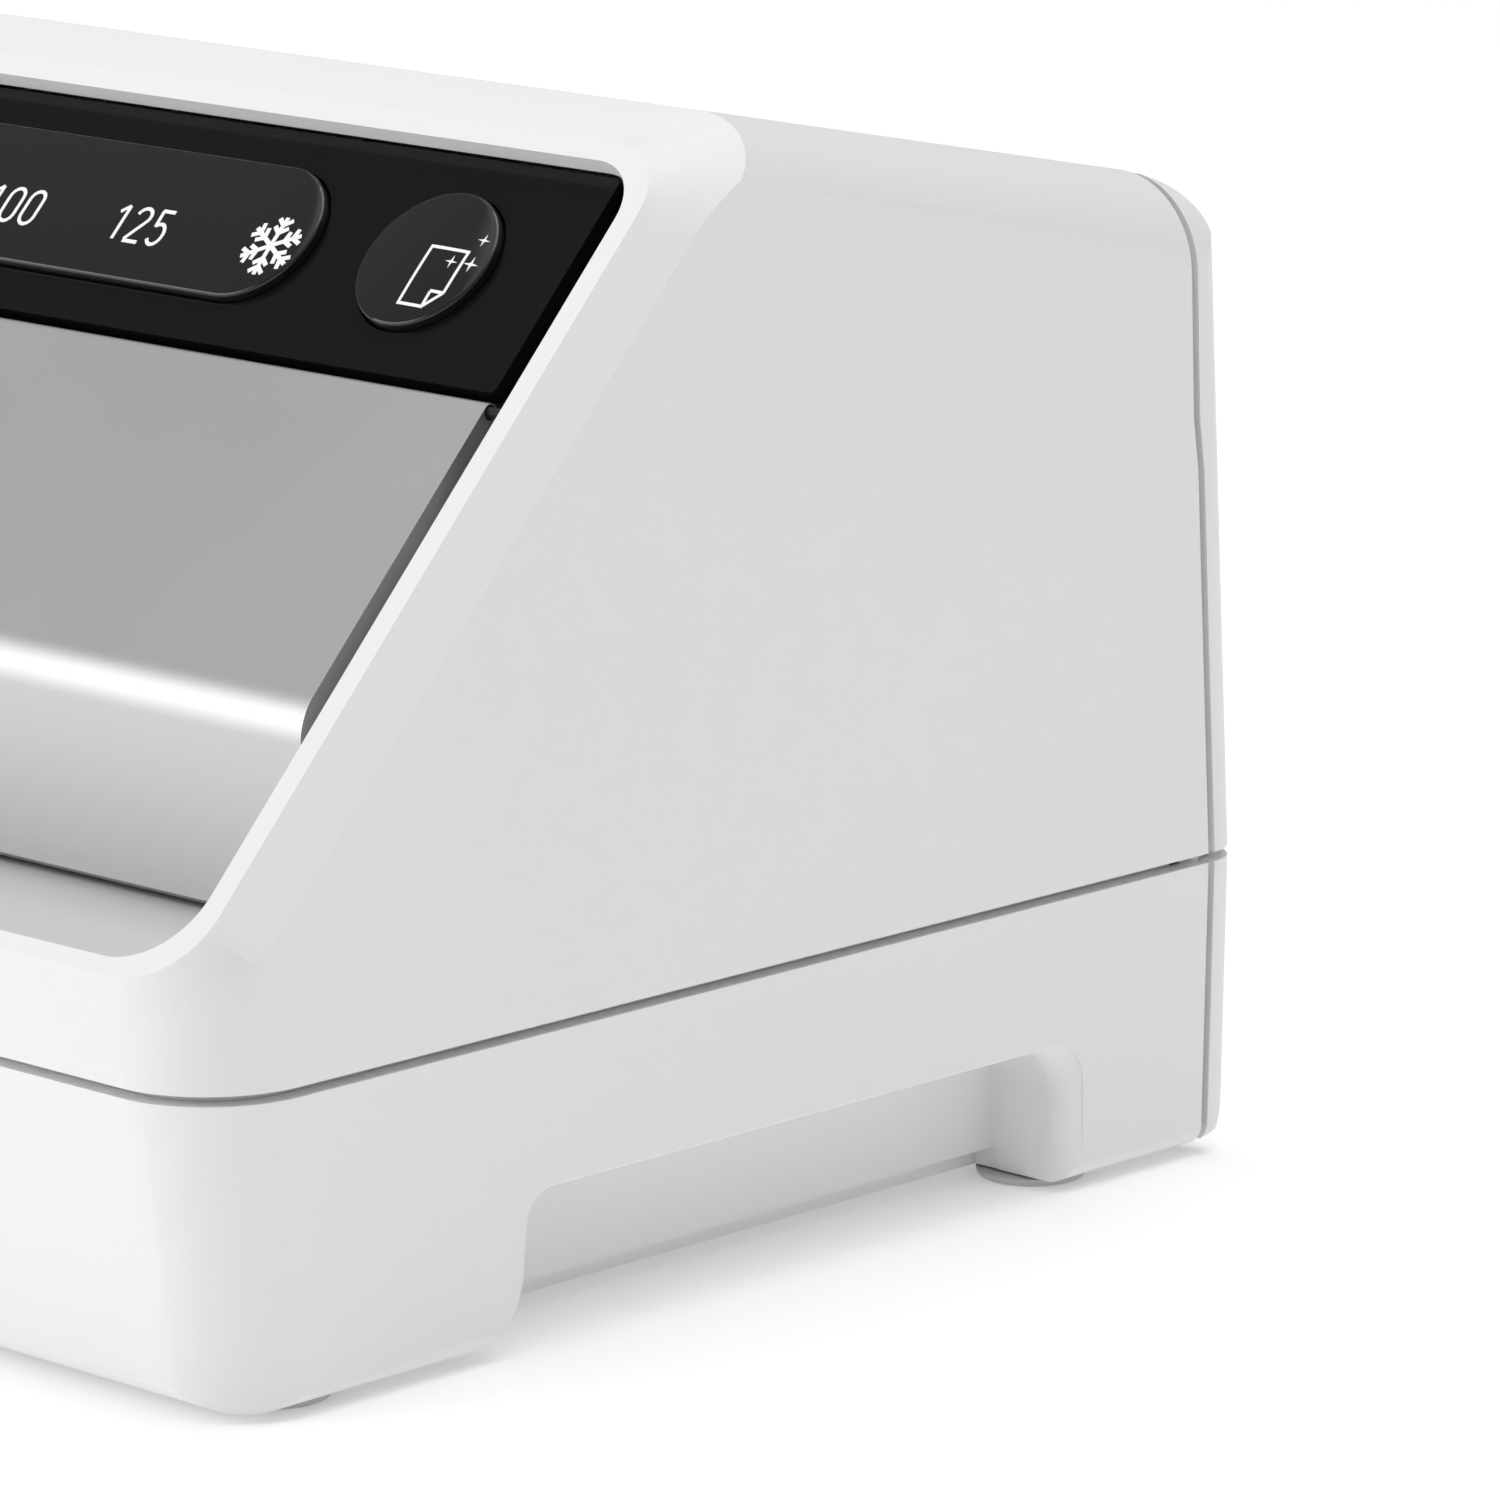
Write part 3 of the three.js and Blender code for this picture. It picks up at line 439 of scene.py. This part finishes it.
white_plastic = moulded("satin_white_plastic", (0.84, 0.84, 0.84), 0.42)
outer = outer_form(0)
shell = copy_of(outer)
shape_with(shell, outer_form(wall, 6), "DIFFERENCE")
upper = copy_of(shell)
shape_with(upper, block(-BIG, BIG, -20, BIG, parting + half_groove, 400), "INTERSECT")
shape_with(upper, behind_seam(-half_groove), "DIFFERENCE")
collar_depth = 24
shape_with(upper, opening(0, -collar_depth, 40), "DIFFERENCE")
collar = opening(2, -collar_depth, rim_level - 1)
shape_with(collar, opening(0, -collar_depth - 1, 40), "DIFFERENCE")
shape_with(collar, outer_form(wall - 0.2, 6), "INTERSECT")
shape_with(collar, above_feed_floor(-1), "INTERSECT")
shape_with(upper, collar, "UNION")
fit(softened(upper), "upper_shell", white_plastic, "chassis", "white_housing", "upper_housing")

# ---- Lower housing ------------------------------------------------------------------------------
# The base moulding in the same white plastic: walls lean in a little to the floor, a hand grip is
# scooped out of each side, and a tongue stands up inside the seam so no light passes the groove.
grip_front, grip_rear, grip_top, grip_depth = 50, 146, parting - 20, 13
tray_z = 4.0


def grip_scoop(hand, grow):
    """Side outline of the grip carried inwards by its depth. Its mouth widens along a quarter circle,
    widen = r - sqrt(r^2 - (x - start)^2), most at the rear end and least along the top."""
    mouth = 3.2
    inner = half_width - grip_depth - grow
    start = half_width - mouth - 0.7
    bow = np.linspace(0, 1, 9)
    stations = np.concatenate([[inner], start + mouth * bow, [half_width + 20]])
    widened = np.concatenate([[0], mouth * (1 - np.sqrt(1 - bow ** 2)), [mouth]])
    rings = []
    low = base_z - 0.05 + grow
    for x, wide in zip(stations, widened):
        wide = wide if grow == 0 else 0
        front, top = grip_front - grow - 0.5 * wide, grip_top + grow + 0.3 * wide
        outline = rounded([(20 - grow, -10), (20 - grow, low), (front + 0.8, low, 9.5),
                           (front + 2.6, top, 4.5), (grip_rear - 0.5 + grow + wide, top, 6),
                           (grip_rear + grow + wide, -10)], 10)
        rings.append(np.stack([np.full(len(outline), hand * x), outline[:, 0], outline[:, 1]], 1))
    return lofted(rings)


def tray_pocket(hand, grow):
    """The shallow pocket in the underside beside a grip."""
    near, far = half_width - grip_depth - 3 - grow, half_width - grip_depth + 1
    x0, x1 = (near, far) if hand > 0 else (-far, -near)
    return block(x0, x1, grip_front + 2 - grow, grip_rear + grow, -20, tray_z + grow)


def lining(region):
    """A thin wall that follows the outer form just inside the shell, within a region."""
    clearance, thickness = 0.3, 1.5
    made = outer_form(wall + clearance, 6)
    shape_with(made, outer_form(wall + clearance + thickness, 6), "DIFFERENCE")
    return shape_with(made, region, "INTERSECT")


lower = copy_of(shell)
shape_with(lower, block(-BIG, BIG, -20, BIG, -20, parting - half_groove), "INTERSECT")
for hand in (-1, 1):
    grip_walls = grip_scoop(hand, wall)
    shape_with(grip_walls, tray_pocket(hand, wall), "UNION")
    shape_with(grip_walls, outer, "INTERSECT", keep_tool=True)
    shape_with(grip_walls, block(-BIG, BIG, -20, BIG, -20, parting - half_groove), "INTERSECT")
    shape_with(lower, grip_walls, "UNION")
    shape_with(lower, grip_scoop(hand, 0), "DIFFERENCE")
    shape_with(lower, tray_pocket(hand, 0), "DIFFERENCE")
shape_with(lower, behind_seam(-half_groove), "DIFFERENCE")
fit(softened(lower), "lower_shell", white_plastic, "chassis", "white_housing", "lower_housing")
front_tongue = lining(block(-BIG, BIG, 0, seam_y - 5, parting - 3, parting + 4))
fit(softened(front_tongue, 0), "seam_tongue", white_plastic, "chassis", "white_housing")

# ---- Rear covers --------------------------------------------------------------------------------
# Two shallow covers close the back, above and below the level seam. The upper one carries the exit
# lip with its slot for the finished pouch, and the lower one has the cut-out for the mains inlet.
slot_width, half_slot, lip_overrun = 330, 2.6, 8
slot_right = half_width - 32
slot_left = slot_right - slot_width
cover_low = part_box("rear_cover_upper")[0][2] * 1000
lip_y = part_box("rear_cover_upper")[1][1] * 1000 - front_y
inlet_low, inlet_high = (np.array(corner) * 1000 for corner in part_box("power_inlet"))

rear_upper = copy_of(shell)
shape_with(rear_upper, block(-BIG, BIG, 0, BIG, parting + half_groove, 400), "INTERSECT")
shape_with(rear_upper, behind_seam(half_groove), "INTERSECT")
lip_outline = rounded([(depth - wall, cover_low), (lip_y, cover_low, 1.2), (lip_y, cover_low + 20, 2.2),
                       (depth - wall, cover_low + 23)], 6)
shape_with(rear_upper, prism(lip_outline, (Y_AXIS, Z_AXIS, X_AXIS), np.array([slot_left - lip_overrun, 0, 0]),
                             slot_width + 2 * lip_overrun), "UNION")
shape_with(rear_upper, block(slot_left, slot_right, depth - 12, 400, path_z - half_slot, path_z + half_slot),
           "DIFFERENCE")
fit(softened(rear_upper), "rear_shell_upper", white_plastic, "chassis", "white_housing", "rear_cover_upper")

rear_lower = copy_of(shell)
shape_with(rear_lower, block(-BIG, BIG, 0, BIG, -20, parting - half_groove), "INTERSECT")
shape_with(rear_lower, behind_seam(half_groove), "INTERSECT")
shape_with(rear_lower, block(inlet_low[0] - 0.3, inlet_high[0] + 0.3, depth - 20, 400, inlet_low[2] - 0.3,
                             inlet_high[2] + 0.3), "DIFFERENCE")
fit(softened(rear_lower), "rear_shell_lower", white_plastic, "chassis", "white_housing", "rear_cover_lower")
across_seam = behind_seam(-3)
shape_with(across_seam, behind_seam(3), "DIFFERENCE")
fit(softened(lining(across_seam), 0), "rear_tongue", white_plastic, "chassis", "white_housing")
rear_tongue = lining(block(-BIG, BIG, seam_y + 3.2, BIG, parting - 3, parting + 4))
fit(softened(rear_tongue, 0), "rear_seam_tongue", white_plastic, "chassis", "white_housing")
for blank in (outer, shell):
    bpy.data.objects.remove(blank)

# ---- Key panel ----------------------------------------------------------------------------------
# A gloss black plate let into the top of the opening, a shade below the rim, with three holes for
# the keys. A black liner behind it closes the gap round its edge.
plate_thickness, plate_inset = 2.2, 5.6
cover_top_u, plate_seam = 94.0, 0.9
key_u, key_radius, key_clearance = 111.0, 10.0, 0.3
keys = {"mode_key": (half_width - 68.9, 70.0), "clean_key": (half_width - 39.0, 0.0),
        "power_key": (39.0 - half_width, 0.0)}


def pill(right_x, length, radius, steps=28):
    """Two half circles of one radius, length apart along X; a length of nothing makes a circle."""
    angle = np.linspace(-np.pi / 2, np.pi / 2, steps + 1)
    right = np.stack([right_x + radius * np.cos(angle), key_u + radius * np.sin(angle)], 1)
    left = np.stack([right_x - length - radius * np.cos(angle), key_u - radius * np.sin(angle)], 1)
    return np.concatenate([right, left]) if length > 0 else np.concatenate([right, left[1:-1]])


def on_slope(outline, low, high):
    """An outline in the slope's own frame, carried from one level off the slope to another."""
    origin = np.array([0, 0, parting]) + OFF_SLOPE * low
    return prism(outline, (X_AXIS, UP_SLOPE, OFF_SLOPE), origin, high - low)


def plate_edge(u):
    """Half-width of the panel and the entry cover at u up the slope."""
    return rim_edge_x(u) - rim_width - plate_inset


panel_low, panel_high = cover_top_u + plate_seam, opening_high - 0.3
low_edge, high_edge = plate_edge(panel_low), plate_edge(panel_high)
panel = on_slope(rounded([(-low_edge, panel_low, 1), (low_edge, panel_low, 1), (high_edge, panel_high, 1),
                          (-high_edge, panel_high, 1)], 5), panel_level - plate_thickness, panel_level)
for right_x, length in keys.values():
    shape_with(panel, on_slope(pill(right_x, length, key_radius + key_clearance), 0, 12), "DIFFERENCE")
black_gloss = moulded("gloss_black_plastic", (0.006, 0.006, 0.0065), 0.16, grain=900, depth=0.000004)
shader_of(black_gloss).inputs["Specular IOR Level"].default_value = 0.12
fit(softened(panel), "key_panel", black_gloss, "chassis", "black_panel", "control_panel")

# Matt black for the liner, and also painted shade on the steel cover pins further down.
matt_black_and_pin_shade = moulded("matt_black_plastic_and_pin_shade", (0.006, 0.006, 0.006), 0.7)
liner_low, liner_high = cover_top_u + 2, opening_high - 0.1
liner_back, liner_face = 2.9, 3.4
liner_x = rim_edge_x(liner_high) - rim_width - 0.1
liner = on_slope(rounded([(-liner_x, liner_low), (liner_x, liner_low), (liner_x, liner_high, 4),
                          (-liner_x, liner_high, 4)], 5), liner_back, liner_face)
for right_x, length in keys.values():
    shape_with(liner, on_slope(pill(right_x, length, key_radius + 2.2), 0, 12), "DIFFERENCE")
fit(softened(liner, 0), "panel_liner", matt_black_and_pin_shade, "chassis", "black_panel")

# ---- Keys ---------------------------------------------------------------------------------------
# Moulded in the same black with a slightly domed top, so each picks up its own reflection. Each
# slides in its hole in the panel and is sprung from the board behind.
key_top = panel_level + 1.6
crown = 0.35


def key_cap(right_x, length):
    """Grid of rings: ring k shrinks the pill's radius and rises along a profile that goes straight up
    the side, round a small shoulder and in over a shallow dome to the pill's middle line."""
    shoulder = 0.45
    turn = np.linspace(0, np.pi / 2, 8)
    reach = np.linspace(key_radius - shoulder, 0.02, 16)[1:]
    dome = crown * (1 - (reach / (key_radius - shoulder)) ** 2)
    radius = np.concatenate([[key_radius], key_radius - shoulder * (1 - np.cos(turn)), reach])
    level = np.concatenate([[panel_level - plate_thickness - 1.5],
                            key_top - crown - shoulder * (1 - np.sin(turn)), key_top - crown + dome])
    length = max(length, 0.02)
    return lofted([on_slope_points(pill(right_x, length, r), n) for r, n in zip(radius, level)])


key_gloss = moulded("gloss_black_key", (0.008, 0.008, 0.0085), 0.06, grain=700, depth=0.000001)
shader_of(key_gloss).inputs["Specular IOR Level"].default_value = 0.5
for name, (right_x, length) in keys.items():
    cap = key_cap(right_x, length)
    cap.data.shade_smooth()
    cap.data.set_sharp_from_angle(angle=np.radians(40))
    fit(cap, f"{name}_cap", key_gloss, name, "key_black", name)

# ---- Legends ------------------------------------------------------------------------------------
# Printed in pale ink on the keys: pouch thicknesses in microns, a snowflake for cold pouches, a clean sheet,
# and the usual mark for power. Each is a thin layer of ink that follows the key's dome, with a faint painted
# glow.
glowing_ink = moulded("pale_ink_painted_glow", (0.82, 0.82, 0.82), 0.5)
# The emission is a painted glow: it makes the ink brighter than the lamps alone would.
shader_of(glowing_ink).inputs["Emission Color"].default_value = (1, 1, 1, 1)
shader_of(glowing_ink).inputs["Emission Strength"].default_value = 0.12


def dome_level(x, u, right_x, length):
    """Level of the key's top above (x, u): a parabola in the distance from its middle line."""
    beyond = np.maximum(x - right_x, 0) + np.minimum(x - (right_x - length), 0)
    away = np.hypot(beyond, u - key_u)
    dome_reach = 9.3
    return key_top - crown * np.clip(away / dome_reach, 0, 1) ** 2


def ink_object(name, points, faces, key):
    """Flat (x, u) artwork laid on the key's dome, a twentieth of a millimetre proud."""
    right_x, length = keys[key]
    x, u = points[:, 0], points[:, 1]
    level = dome_level(x, u, right_x, length) + 0.05
    made = object_from(name, on_slope_points(points, level[:, None]), faces)
    fit(made, name, glowing_ink, key, "key_black")
    thick = made.modifiers.new("glowing_ink", "SOLIDIFY")
    thick.thickness = 0.00004
    thick.offset = -1
    return made


def strokes(lines, breadth, lengths=8):
    """Each straight line (x0, u0, x1, u1) as a strip of one breadth, in short lengths so it can bend."""
    lines = np.asarray(lines, float)
    start, end = lines[:, None, :2], lines[:, None, 2:]
    along = (end - start) / np.linalg.norm(end - start, axis=2, keepdims=True)
    across = np.stack([-along[..., 1], along[..., 0]], -1) * breadth / 2
    share = np.linspace(0, 1, lengths + 1)[None, :, None]
    middle = start + (end - start) * share
    left, right = middle + across, middle - across
    points = np.stack([left, right], 2).reshape(-1, 2)
    base = (np.arange(len(lines))[:, None] * 2 * (lengths + 1) + np.arange(lengths)[None] * 2).reshape(-1, 1)
    faces = (base + np.array([0, 1, 3, 2])).tolist()
    return points, faces


def bow(x, u, across, high, start, end, steps=8):
    """Part of an oval about (x, u) as short straight lines: x + across cos t, u + high sin t."""
    turn = np.radians(np.linspace(start, end, steps + 1))
    path = np.stack([x + across * np.cos(turn), u + high * np.sin(turn)], 1)
    return np.concatenate([path[:-1], path[1:]], 1).tolist()


figures = {
    "0": bow(0, 1.25, 1.2, 1.25, 0, 180) + bow(0, -1.25, 1.2, 1.25, 180, 360) + [(-1.2, -1.25, -1.2, 1.25),
                                                                               (1.2, -1.25, 1.2, 1.25)],
    "1": [(0.5, -2.5, 0.5, 2.5), (0.5, 2.5, -0.7, 1.5)],
    "2": bow(0, 1.3, 1.2, 1.2, 170, -25) + [(1.09, 0.8, -1.2, -2.3), (-1.25, -2.5, 1.3, -2.5)],
    "5": bow(0, -0.95, 1.2, 1.55, 130, -150, 12) + [(-0.8, 0.1, -0.95, 2.5), (-1.1, 2.5, 1.1, 2.5)],
    "8": bow(0, 1.3, 1.05, 1.2, 0, 360, 14) + bow(0, -1.2, 1.25, 1.3, 0, 360, 14),
}


def number_legend(text, centre_x):
    """Upright narrow figures at one pitch, drawn as strokes."""
    pitch, below_middle = 3.7, 2.06
    lines = []
    for place, figure in enumerate(text):
        x = centre_x + (place - (len(text) - 1) / 2) * pitch
        u = key_u - below_middle
        lines.extend((np.array(figures[figure]) + [x, u, x, u]).tolist())
    points, faces = strokes(lines, 0.52, 2)
    ink_object(f"legend_{text}", points, faces, "mode_key")


snow_x = half_width - 64.2
legend_spacing = 23.3
for place, text in enumerate(("125", "100", "80"), start=1):
    number_legend(text, snow_x - place * legend_spacing)

snow_lines = []
for arm in range(6):
    turn = np.radians(60 * arm + 30)
    point = np.array([np.cos(turn), np.sin(turn)])
    snow_lines.append((0, 0, *(point * 4.3)))
    for fork in (1.9, 3.1):
        for lean in (-0.9, 0.9):
            branch = np.array([np.cos(turn + lean), np.sin(turn + lean)]) * 1.45
            snow_lines.append((*(point * fork), *(point * fork + branch)))
snow_points, snow_faces = strokes(snow_lines, 0.62)
ink_object("legend_cold", snow_points + [snow_x, key_u - 1.96], snow_faces, "mode_key")

page_x, page_u = keys["clean_key"][0] + 3.3, key_u - 2.66
page = [(-3.0, -4.2, -3.0, 4.2), (-3.2, 4.2, 3.2, 4.2), (3.0, 4.2, 3.0, -1.9), (3.0, -1.9, 0.9, -4.2),
        (1.1, -4.2, -3.2, -4.2), (0.9, -4.2, 0.9, -2.0), (0.8, -1.9, 3.0, -1.9)]
page_points, page_faces = strokes(page, 0.42)
ink_object("legend_sheet", page_points + [page_x, page_u], page_faces, "clean_key")


def sparkle(centre, reach):
    """Four-pointed star: radius alternates between reach and about a fifth of it every 45 degrees."""
    angle = np.arange(8) * np.pi / 4
    radius = np.where(np.arange(8) % 2 == 0, reach, reach * 0.22)
    return np.stack([np.cos(angle), np.sin(angle)], 1) * radius[:, None] + centre


stars = [((4.4, 2.6), 1.15), ((1.3, 2.5), 0.95), ((4.1, 6.2), 0.95)]
star_points = np.concatenate([sparkle(np.array(centre) + [page_x, page_u], reach) for centre, reach in stars])
star_faces = [list(range(first, first + 8)) for first in (0, 8, 16)]
ink_object("legend_sparkle", star_points, star_faces, "clean_key")

ring_angle = np.linspace(np.radians(125), np.radians(415), 25)
ring = np.stack([np.cos(ring_angle), np.sin(ring_angle)], 1) * 3.4
power_lines = np.concatenate([np.concatenate([ring[:-1], ring[1:]], 1), [[0, 0.6, 0, 4.4]]])
power_points, power_faces = strokes(power_lines, 0.5)
ink_object("legend_power", power_points + [keys["power_key"][0], key_u], power_faces, "power_key")

# ---- Entry cover --------------------------------------------------------------------------------
# A silver-painted plate that continues the panel's face, bends down over the slot and hides the hot
# rollers. It swings out on two pins at its top edge to clear a jam.
hinge_u, hinge_level = cover_top_u - plate_thickness / 2, panel_level - plate_thickness / 2


def slope_point(u, n):
    """Place up the slope and off it, as depth and height."""
    return np.array([(u - n) / root2, parting + (u + n) / root2])


def arc_points(centre, radius, start, end, steps):
    """Part of a circle: centre + radius (cos t, sin t), from start to end."""
    angle = np.linspace(start, end, steps + 1)
    return centre + radius * np.stack([np.cos(angle), np.sin(angle)], 1)


bend_centre = slope_point(bend_u, panel_level - bend_radius)
cover_foot = feed_floor_z(cover_face_y) + 0.6
cover_outline = np.concatenate([
    [(cover_face_y + plate_thickness, cover_foot), (cover_face_y + 0.5, cover_foot),
     (cover_face_y, cover_foot + 0.5)],
    arc_points(bend_centre, bend_radius, np.pi, 0.75 * np.pi, 28),
    arc_points(slope_point(hinge_u, hinge_level), plate_thickness / 2, 0.75 * np.pi, -0.25 * np.pi, 12),
    arc_points(bend_centre, bend_radius - plate_thickness, 0.75 * np.pi, np.pi, 20),
])
entry = prism(cover_outline, (Y_AXIS, Z_AXIS, X_AXIS), np.array([-half_width, 0, 0]), 2 * half_width)
shape_with(entry, opening(-plate_inset, -80, 40, radius=1, low_u=0, high_u=140), "INTERSECT")
bore_radius, bore_depth, past_end = 0.95, 8.3, 6
pin_end = plate_edge(hinge_u)
for start in (-pin_end - past_end, pin_end - bore_depth):
    bore = rounded([(a * bore_radius, b * bore_radius, bore_radius - 0.01)
                    for a, b in ((-1, -1), (1, -1), (1, 1), (-1, 1))], 4)
    bore = bore + slope_point(hinge_u, hinge_level)
    shape_with(entry, prism(bore, (Y_AXIS, Z_AXIS, X_AXIS), np.array([start, 0, 0]), bore_depth + past_end),
               "DIFFERENCE")
silver = moulded("silver_paint", (0.56, 0.56, 0.565), 0.44, grain=9000, depth=0.00001, metallic=0.92)
fit(softened(entry, 0.3), "entry_cover_plate", silver, "entry_cover", "cover_silver", "entry_cover")

# ---- Feed table ---------------------------------------------------------------------------------
# A flat plastic shelf between the rim and the rollers, which fits inside the housing's collar; its mid grey
# is painted shade for the recess.
# Pouches are laid on it and pushed under the cover.
table_rear, table_thickness = 43, 2.4
front_z, rear_z = feed_floor_z(0), feed_floor_z(table_rear)
table_outline = np.array([(0, front_z), (0, front_z - table_thickness),
                          (table_rear, rear_z - table_thickness), (table_rear, rear_z)])
table = prism(table_outline, (Y_AXIS, Z_AXIS, X_AXIS), np.array([-half_width, 0, 0]), 2 * half_width)
shape_with(table, opening(-0.06, -90, 40, high_u=140), "INTERSECT")
# Mid grey rather than the housing's white: painted shade for the recess the shelf lies in.
shelf_shaded_grey = moulded("feed_shelf_painted_shade", (0.53, 0.53, 0.53), 0.42)
fit(softened(table, 0), "feed_shelf", shelf_shaded_grey, "chassis", "white_housing", "feed_table")

# ---- Feet ---------------------------------------------------------------------------------------
# Four soft grey discs pressed into the base, with a rounded lower edge.
foot_grey = moulded("foot_rubber", (0.55, 0.55, 0.55), 0.8, grain=3000)


def turned(profile, centre, steps=48):
    """A (radius, height) profile spun about an upright line: x = r cos a, y = r sin a."""
    angle = np.arange(steps) * 2 * np.pi / steps
    return lofted([np.stack([radius * np.cos(angle) + centre[0], radius * np.sin(angle) + centre[1],
                             np.full(steps, height)], 1) for radius, height in profile])


foot_names = [name for name in frame["nodes"] if name.startswith("foot_")]
for name in foot_names:
    low, high = (np.array(corner) * 1000 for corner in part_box(name))
    centre = (low + high) / 2 - [0, front_y, 0]
    size = (high - low)[0] / 2
    edge, round_off, inner = np.linspace(0, np.pi / 2, 6), 0.8, size * 0.6
    lower_edge = np.stack([size - round_off + round_off * np.sin(edge),
                           round_off - round_off * np.cos(edge)], 1)
    foot = turned([(inner, 0), *lower_edge, (size, high[2]), (inner, high[2])], centre)
    foot.data.shade_smooth()
    foot.data.set_sharp_from_angle(angle=np.radians(35))
    fit(foot, f"{name}_disc", foot_grey, "chassis", "foot_rubber", name)

# ---- Inside pieces kept as built ----------------------------------------------------------------
# Rollers, gears, plates, heaters and electrics keep the frame's shapes and get their own finishes; the cover
# pins get matt black as painted shade.
kept = {
    "steel": moulded("brushed_steel", (0.56, 0.57, 0.58), 0.34, grain=1800, depth=0.00001, metallic=1.0),
    "silicone": moulded("roller_silicone", (0.42, 0.09, 0.04), 0.62, grain=2600),
    "gear_plastic": moulded("gear_nylon", (0.78, 0.73, 0.6), 0.45, grain=2400),
    "bronze": moulded("bush_bronze", (0.5, 0.31, 0.13), 0.4, grain=2000, depth=0.00001, metallic=1.0),
    "aluminium": moulded("heater_aluminium", (0.66, 0.67, 0.69), 0.4, grain=1600, depth=0.00001,
                         metallic=1.0),
    "board_green": moulded("board_green", (0.015, 0.12, 0.05), 0.4, grain=1500),
    "dark_plastic": moulded("dark_plastic", (0.03, 0.03, 0.033), 0.55, grain=2400),
}
for part in frame["record"]["subparts"]:
    # The steel cover pins take the matt black: painted shade, so they look like the dark gap beside the
    # cover.
    finish = matt_black_and_pin_shade if part["node"].startswith("cover_pin") else kept.get(part["material_slot"])
    if finish:
        node = frame["nodes"][part["node"]]
        node.data.materials.clear()
        node.data.materials.append(finish)
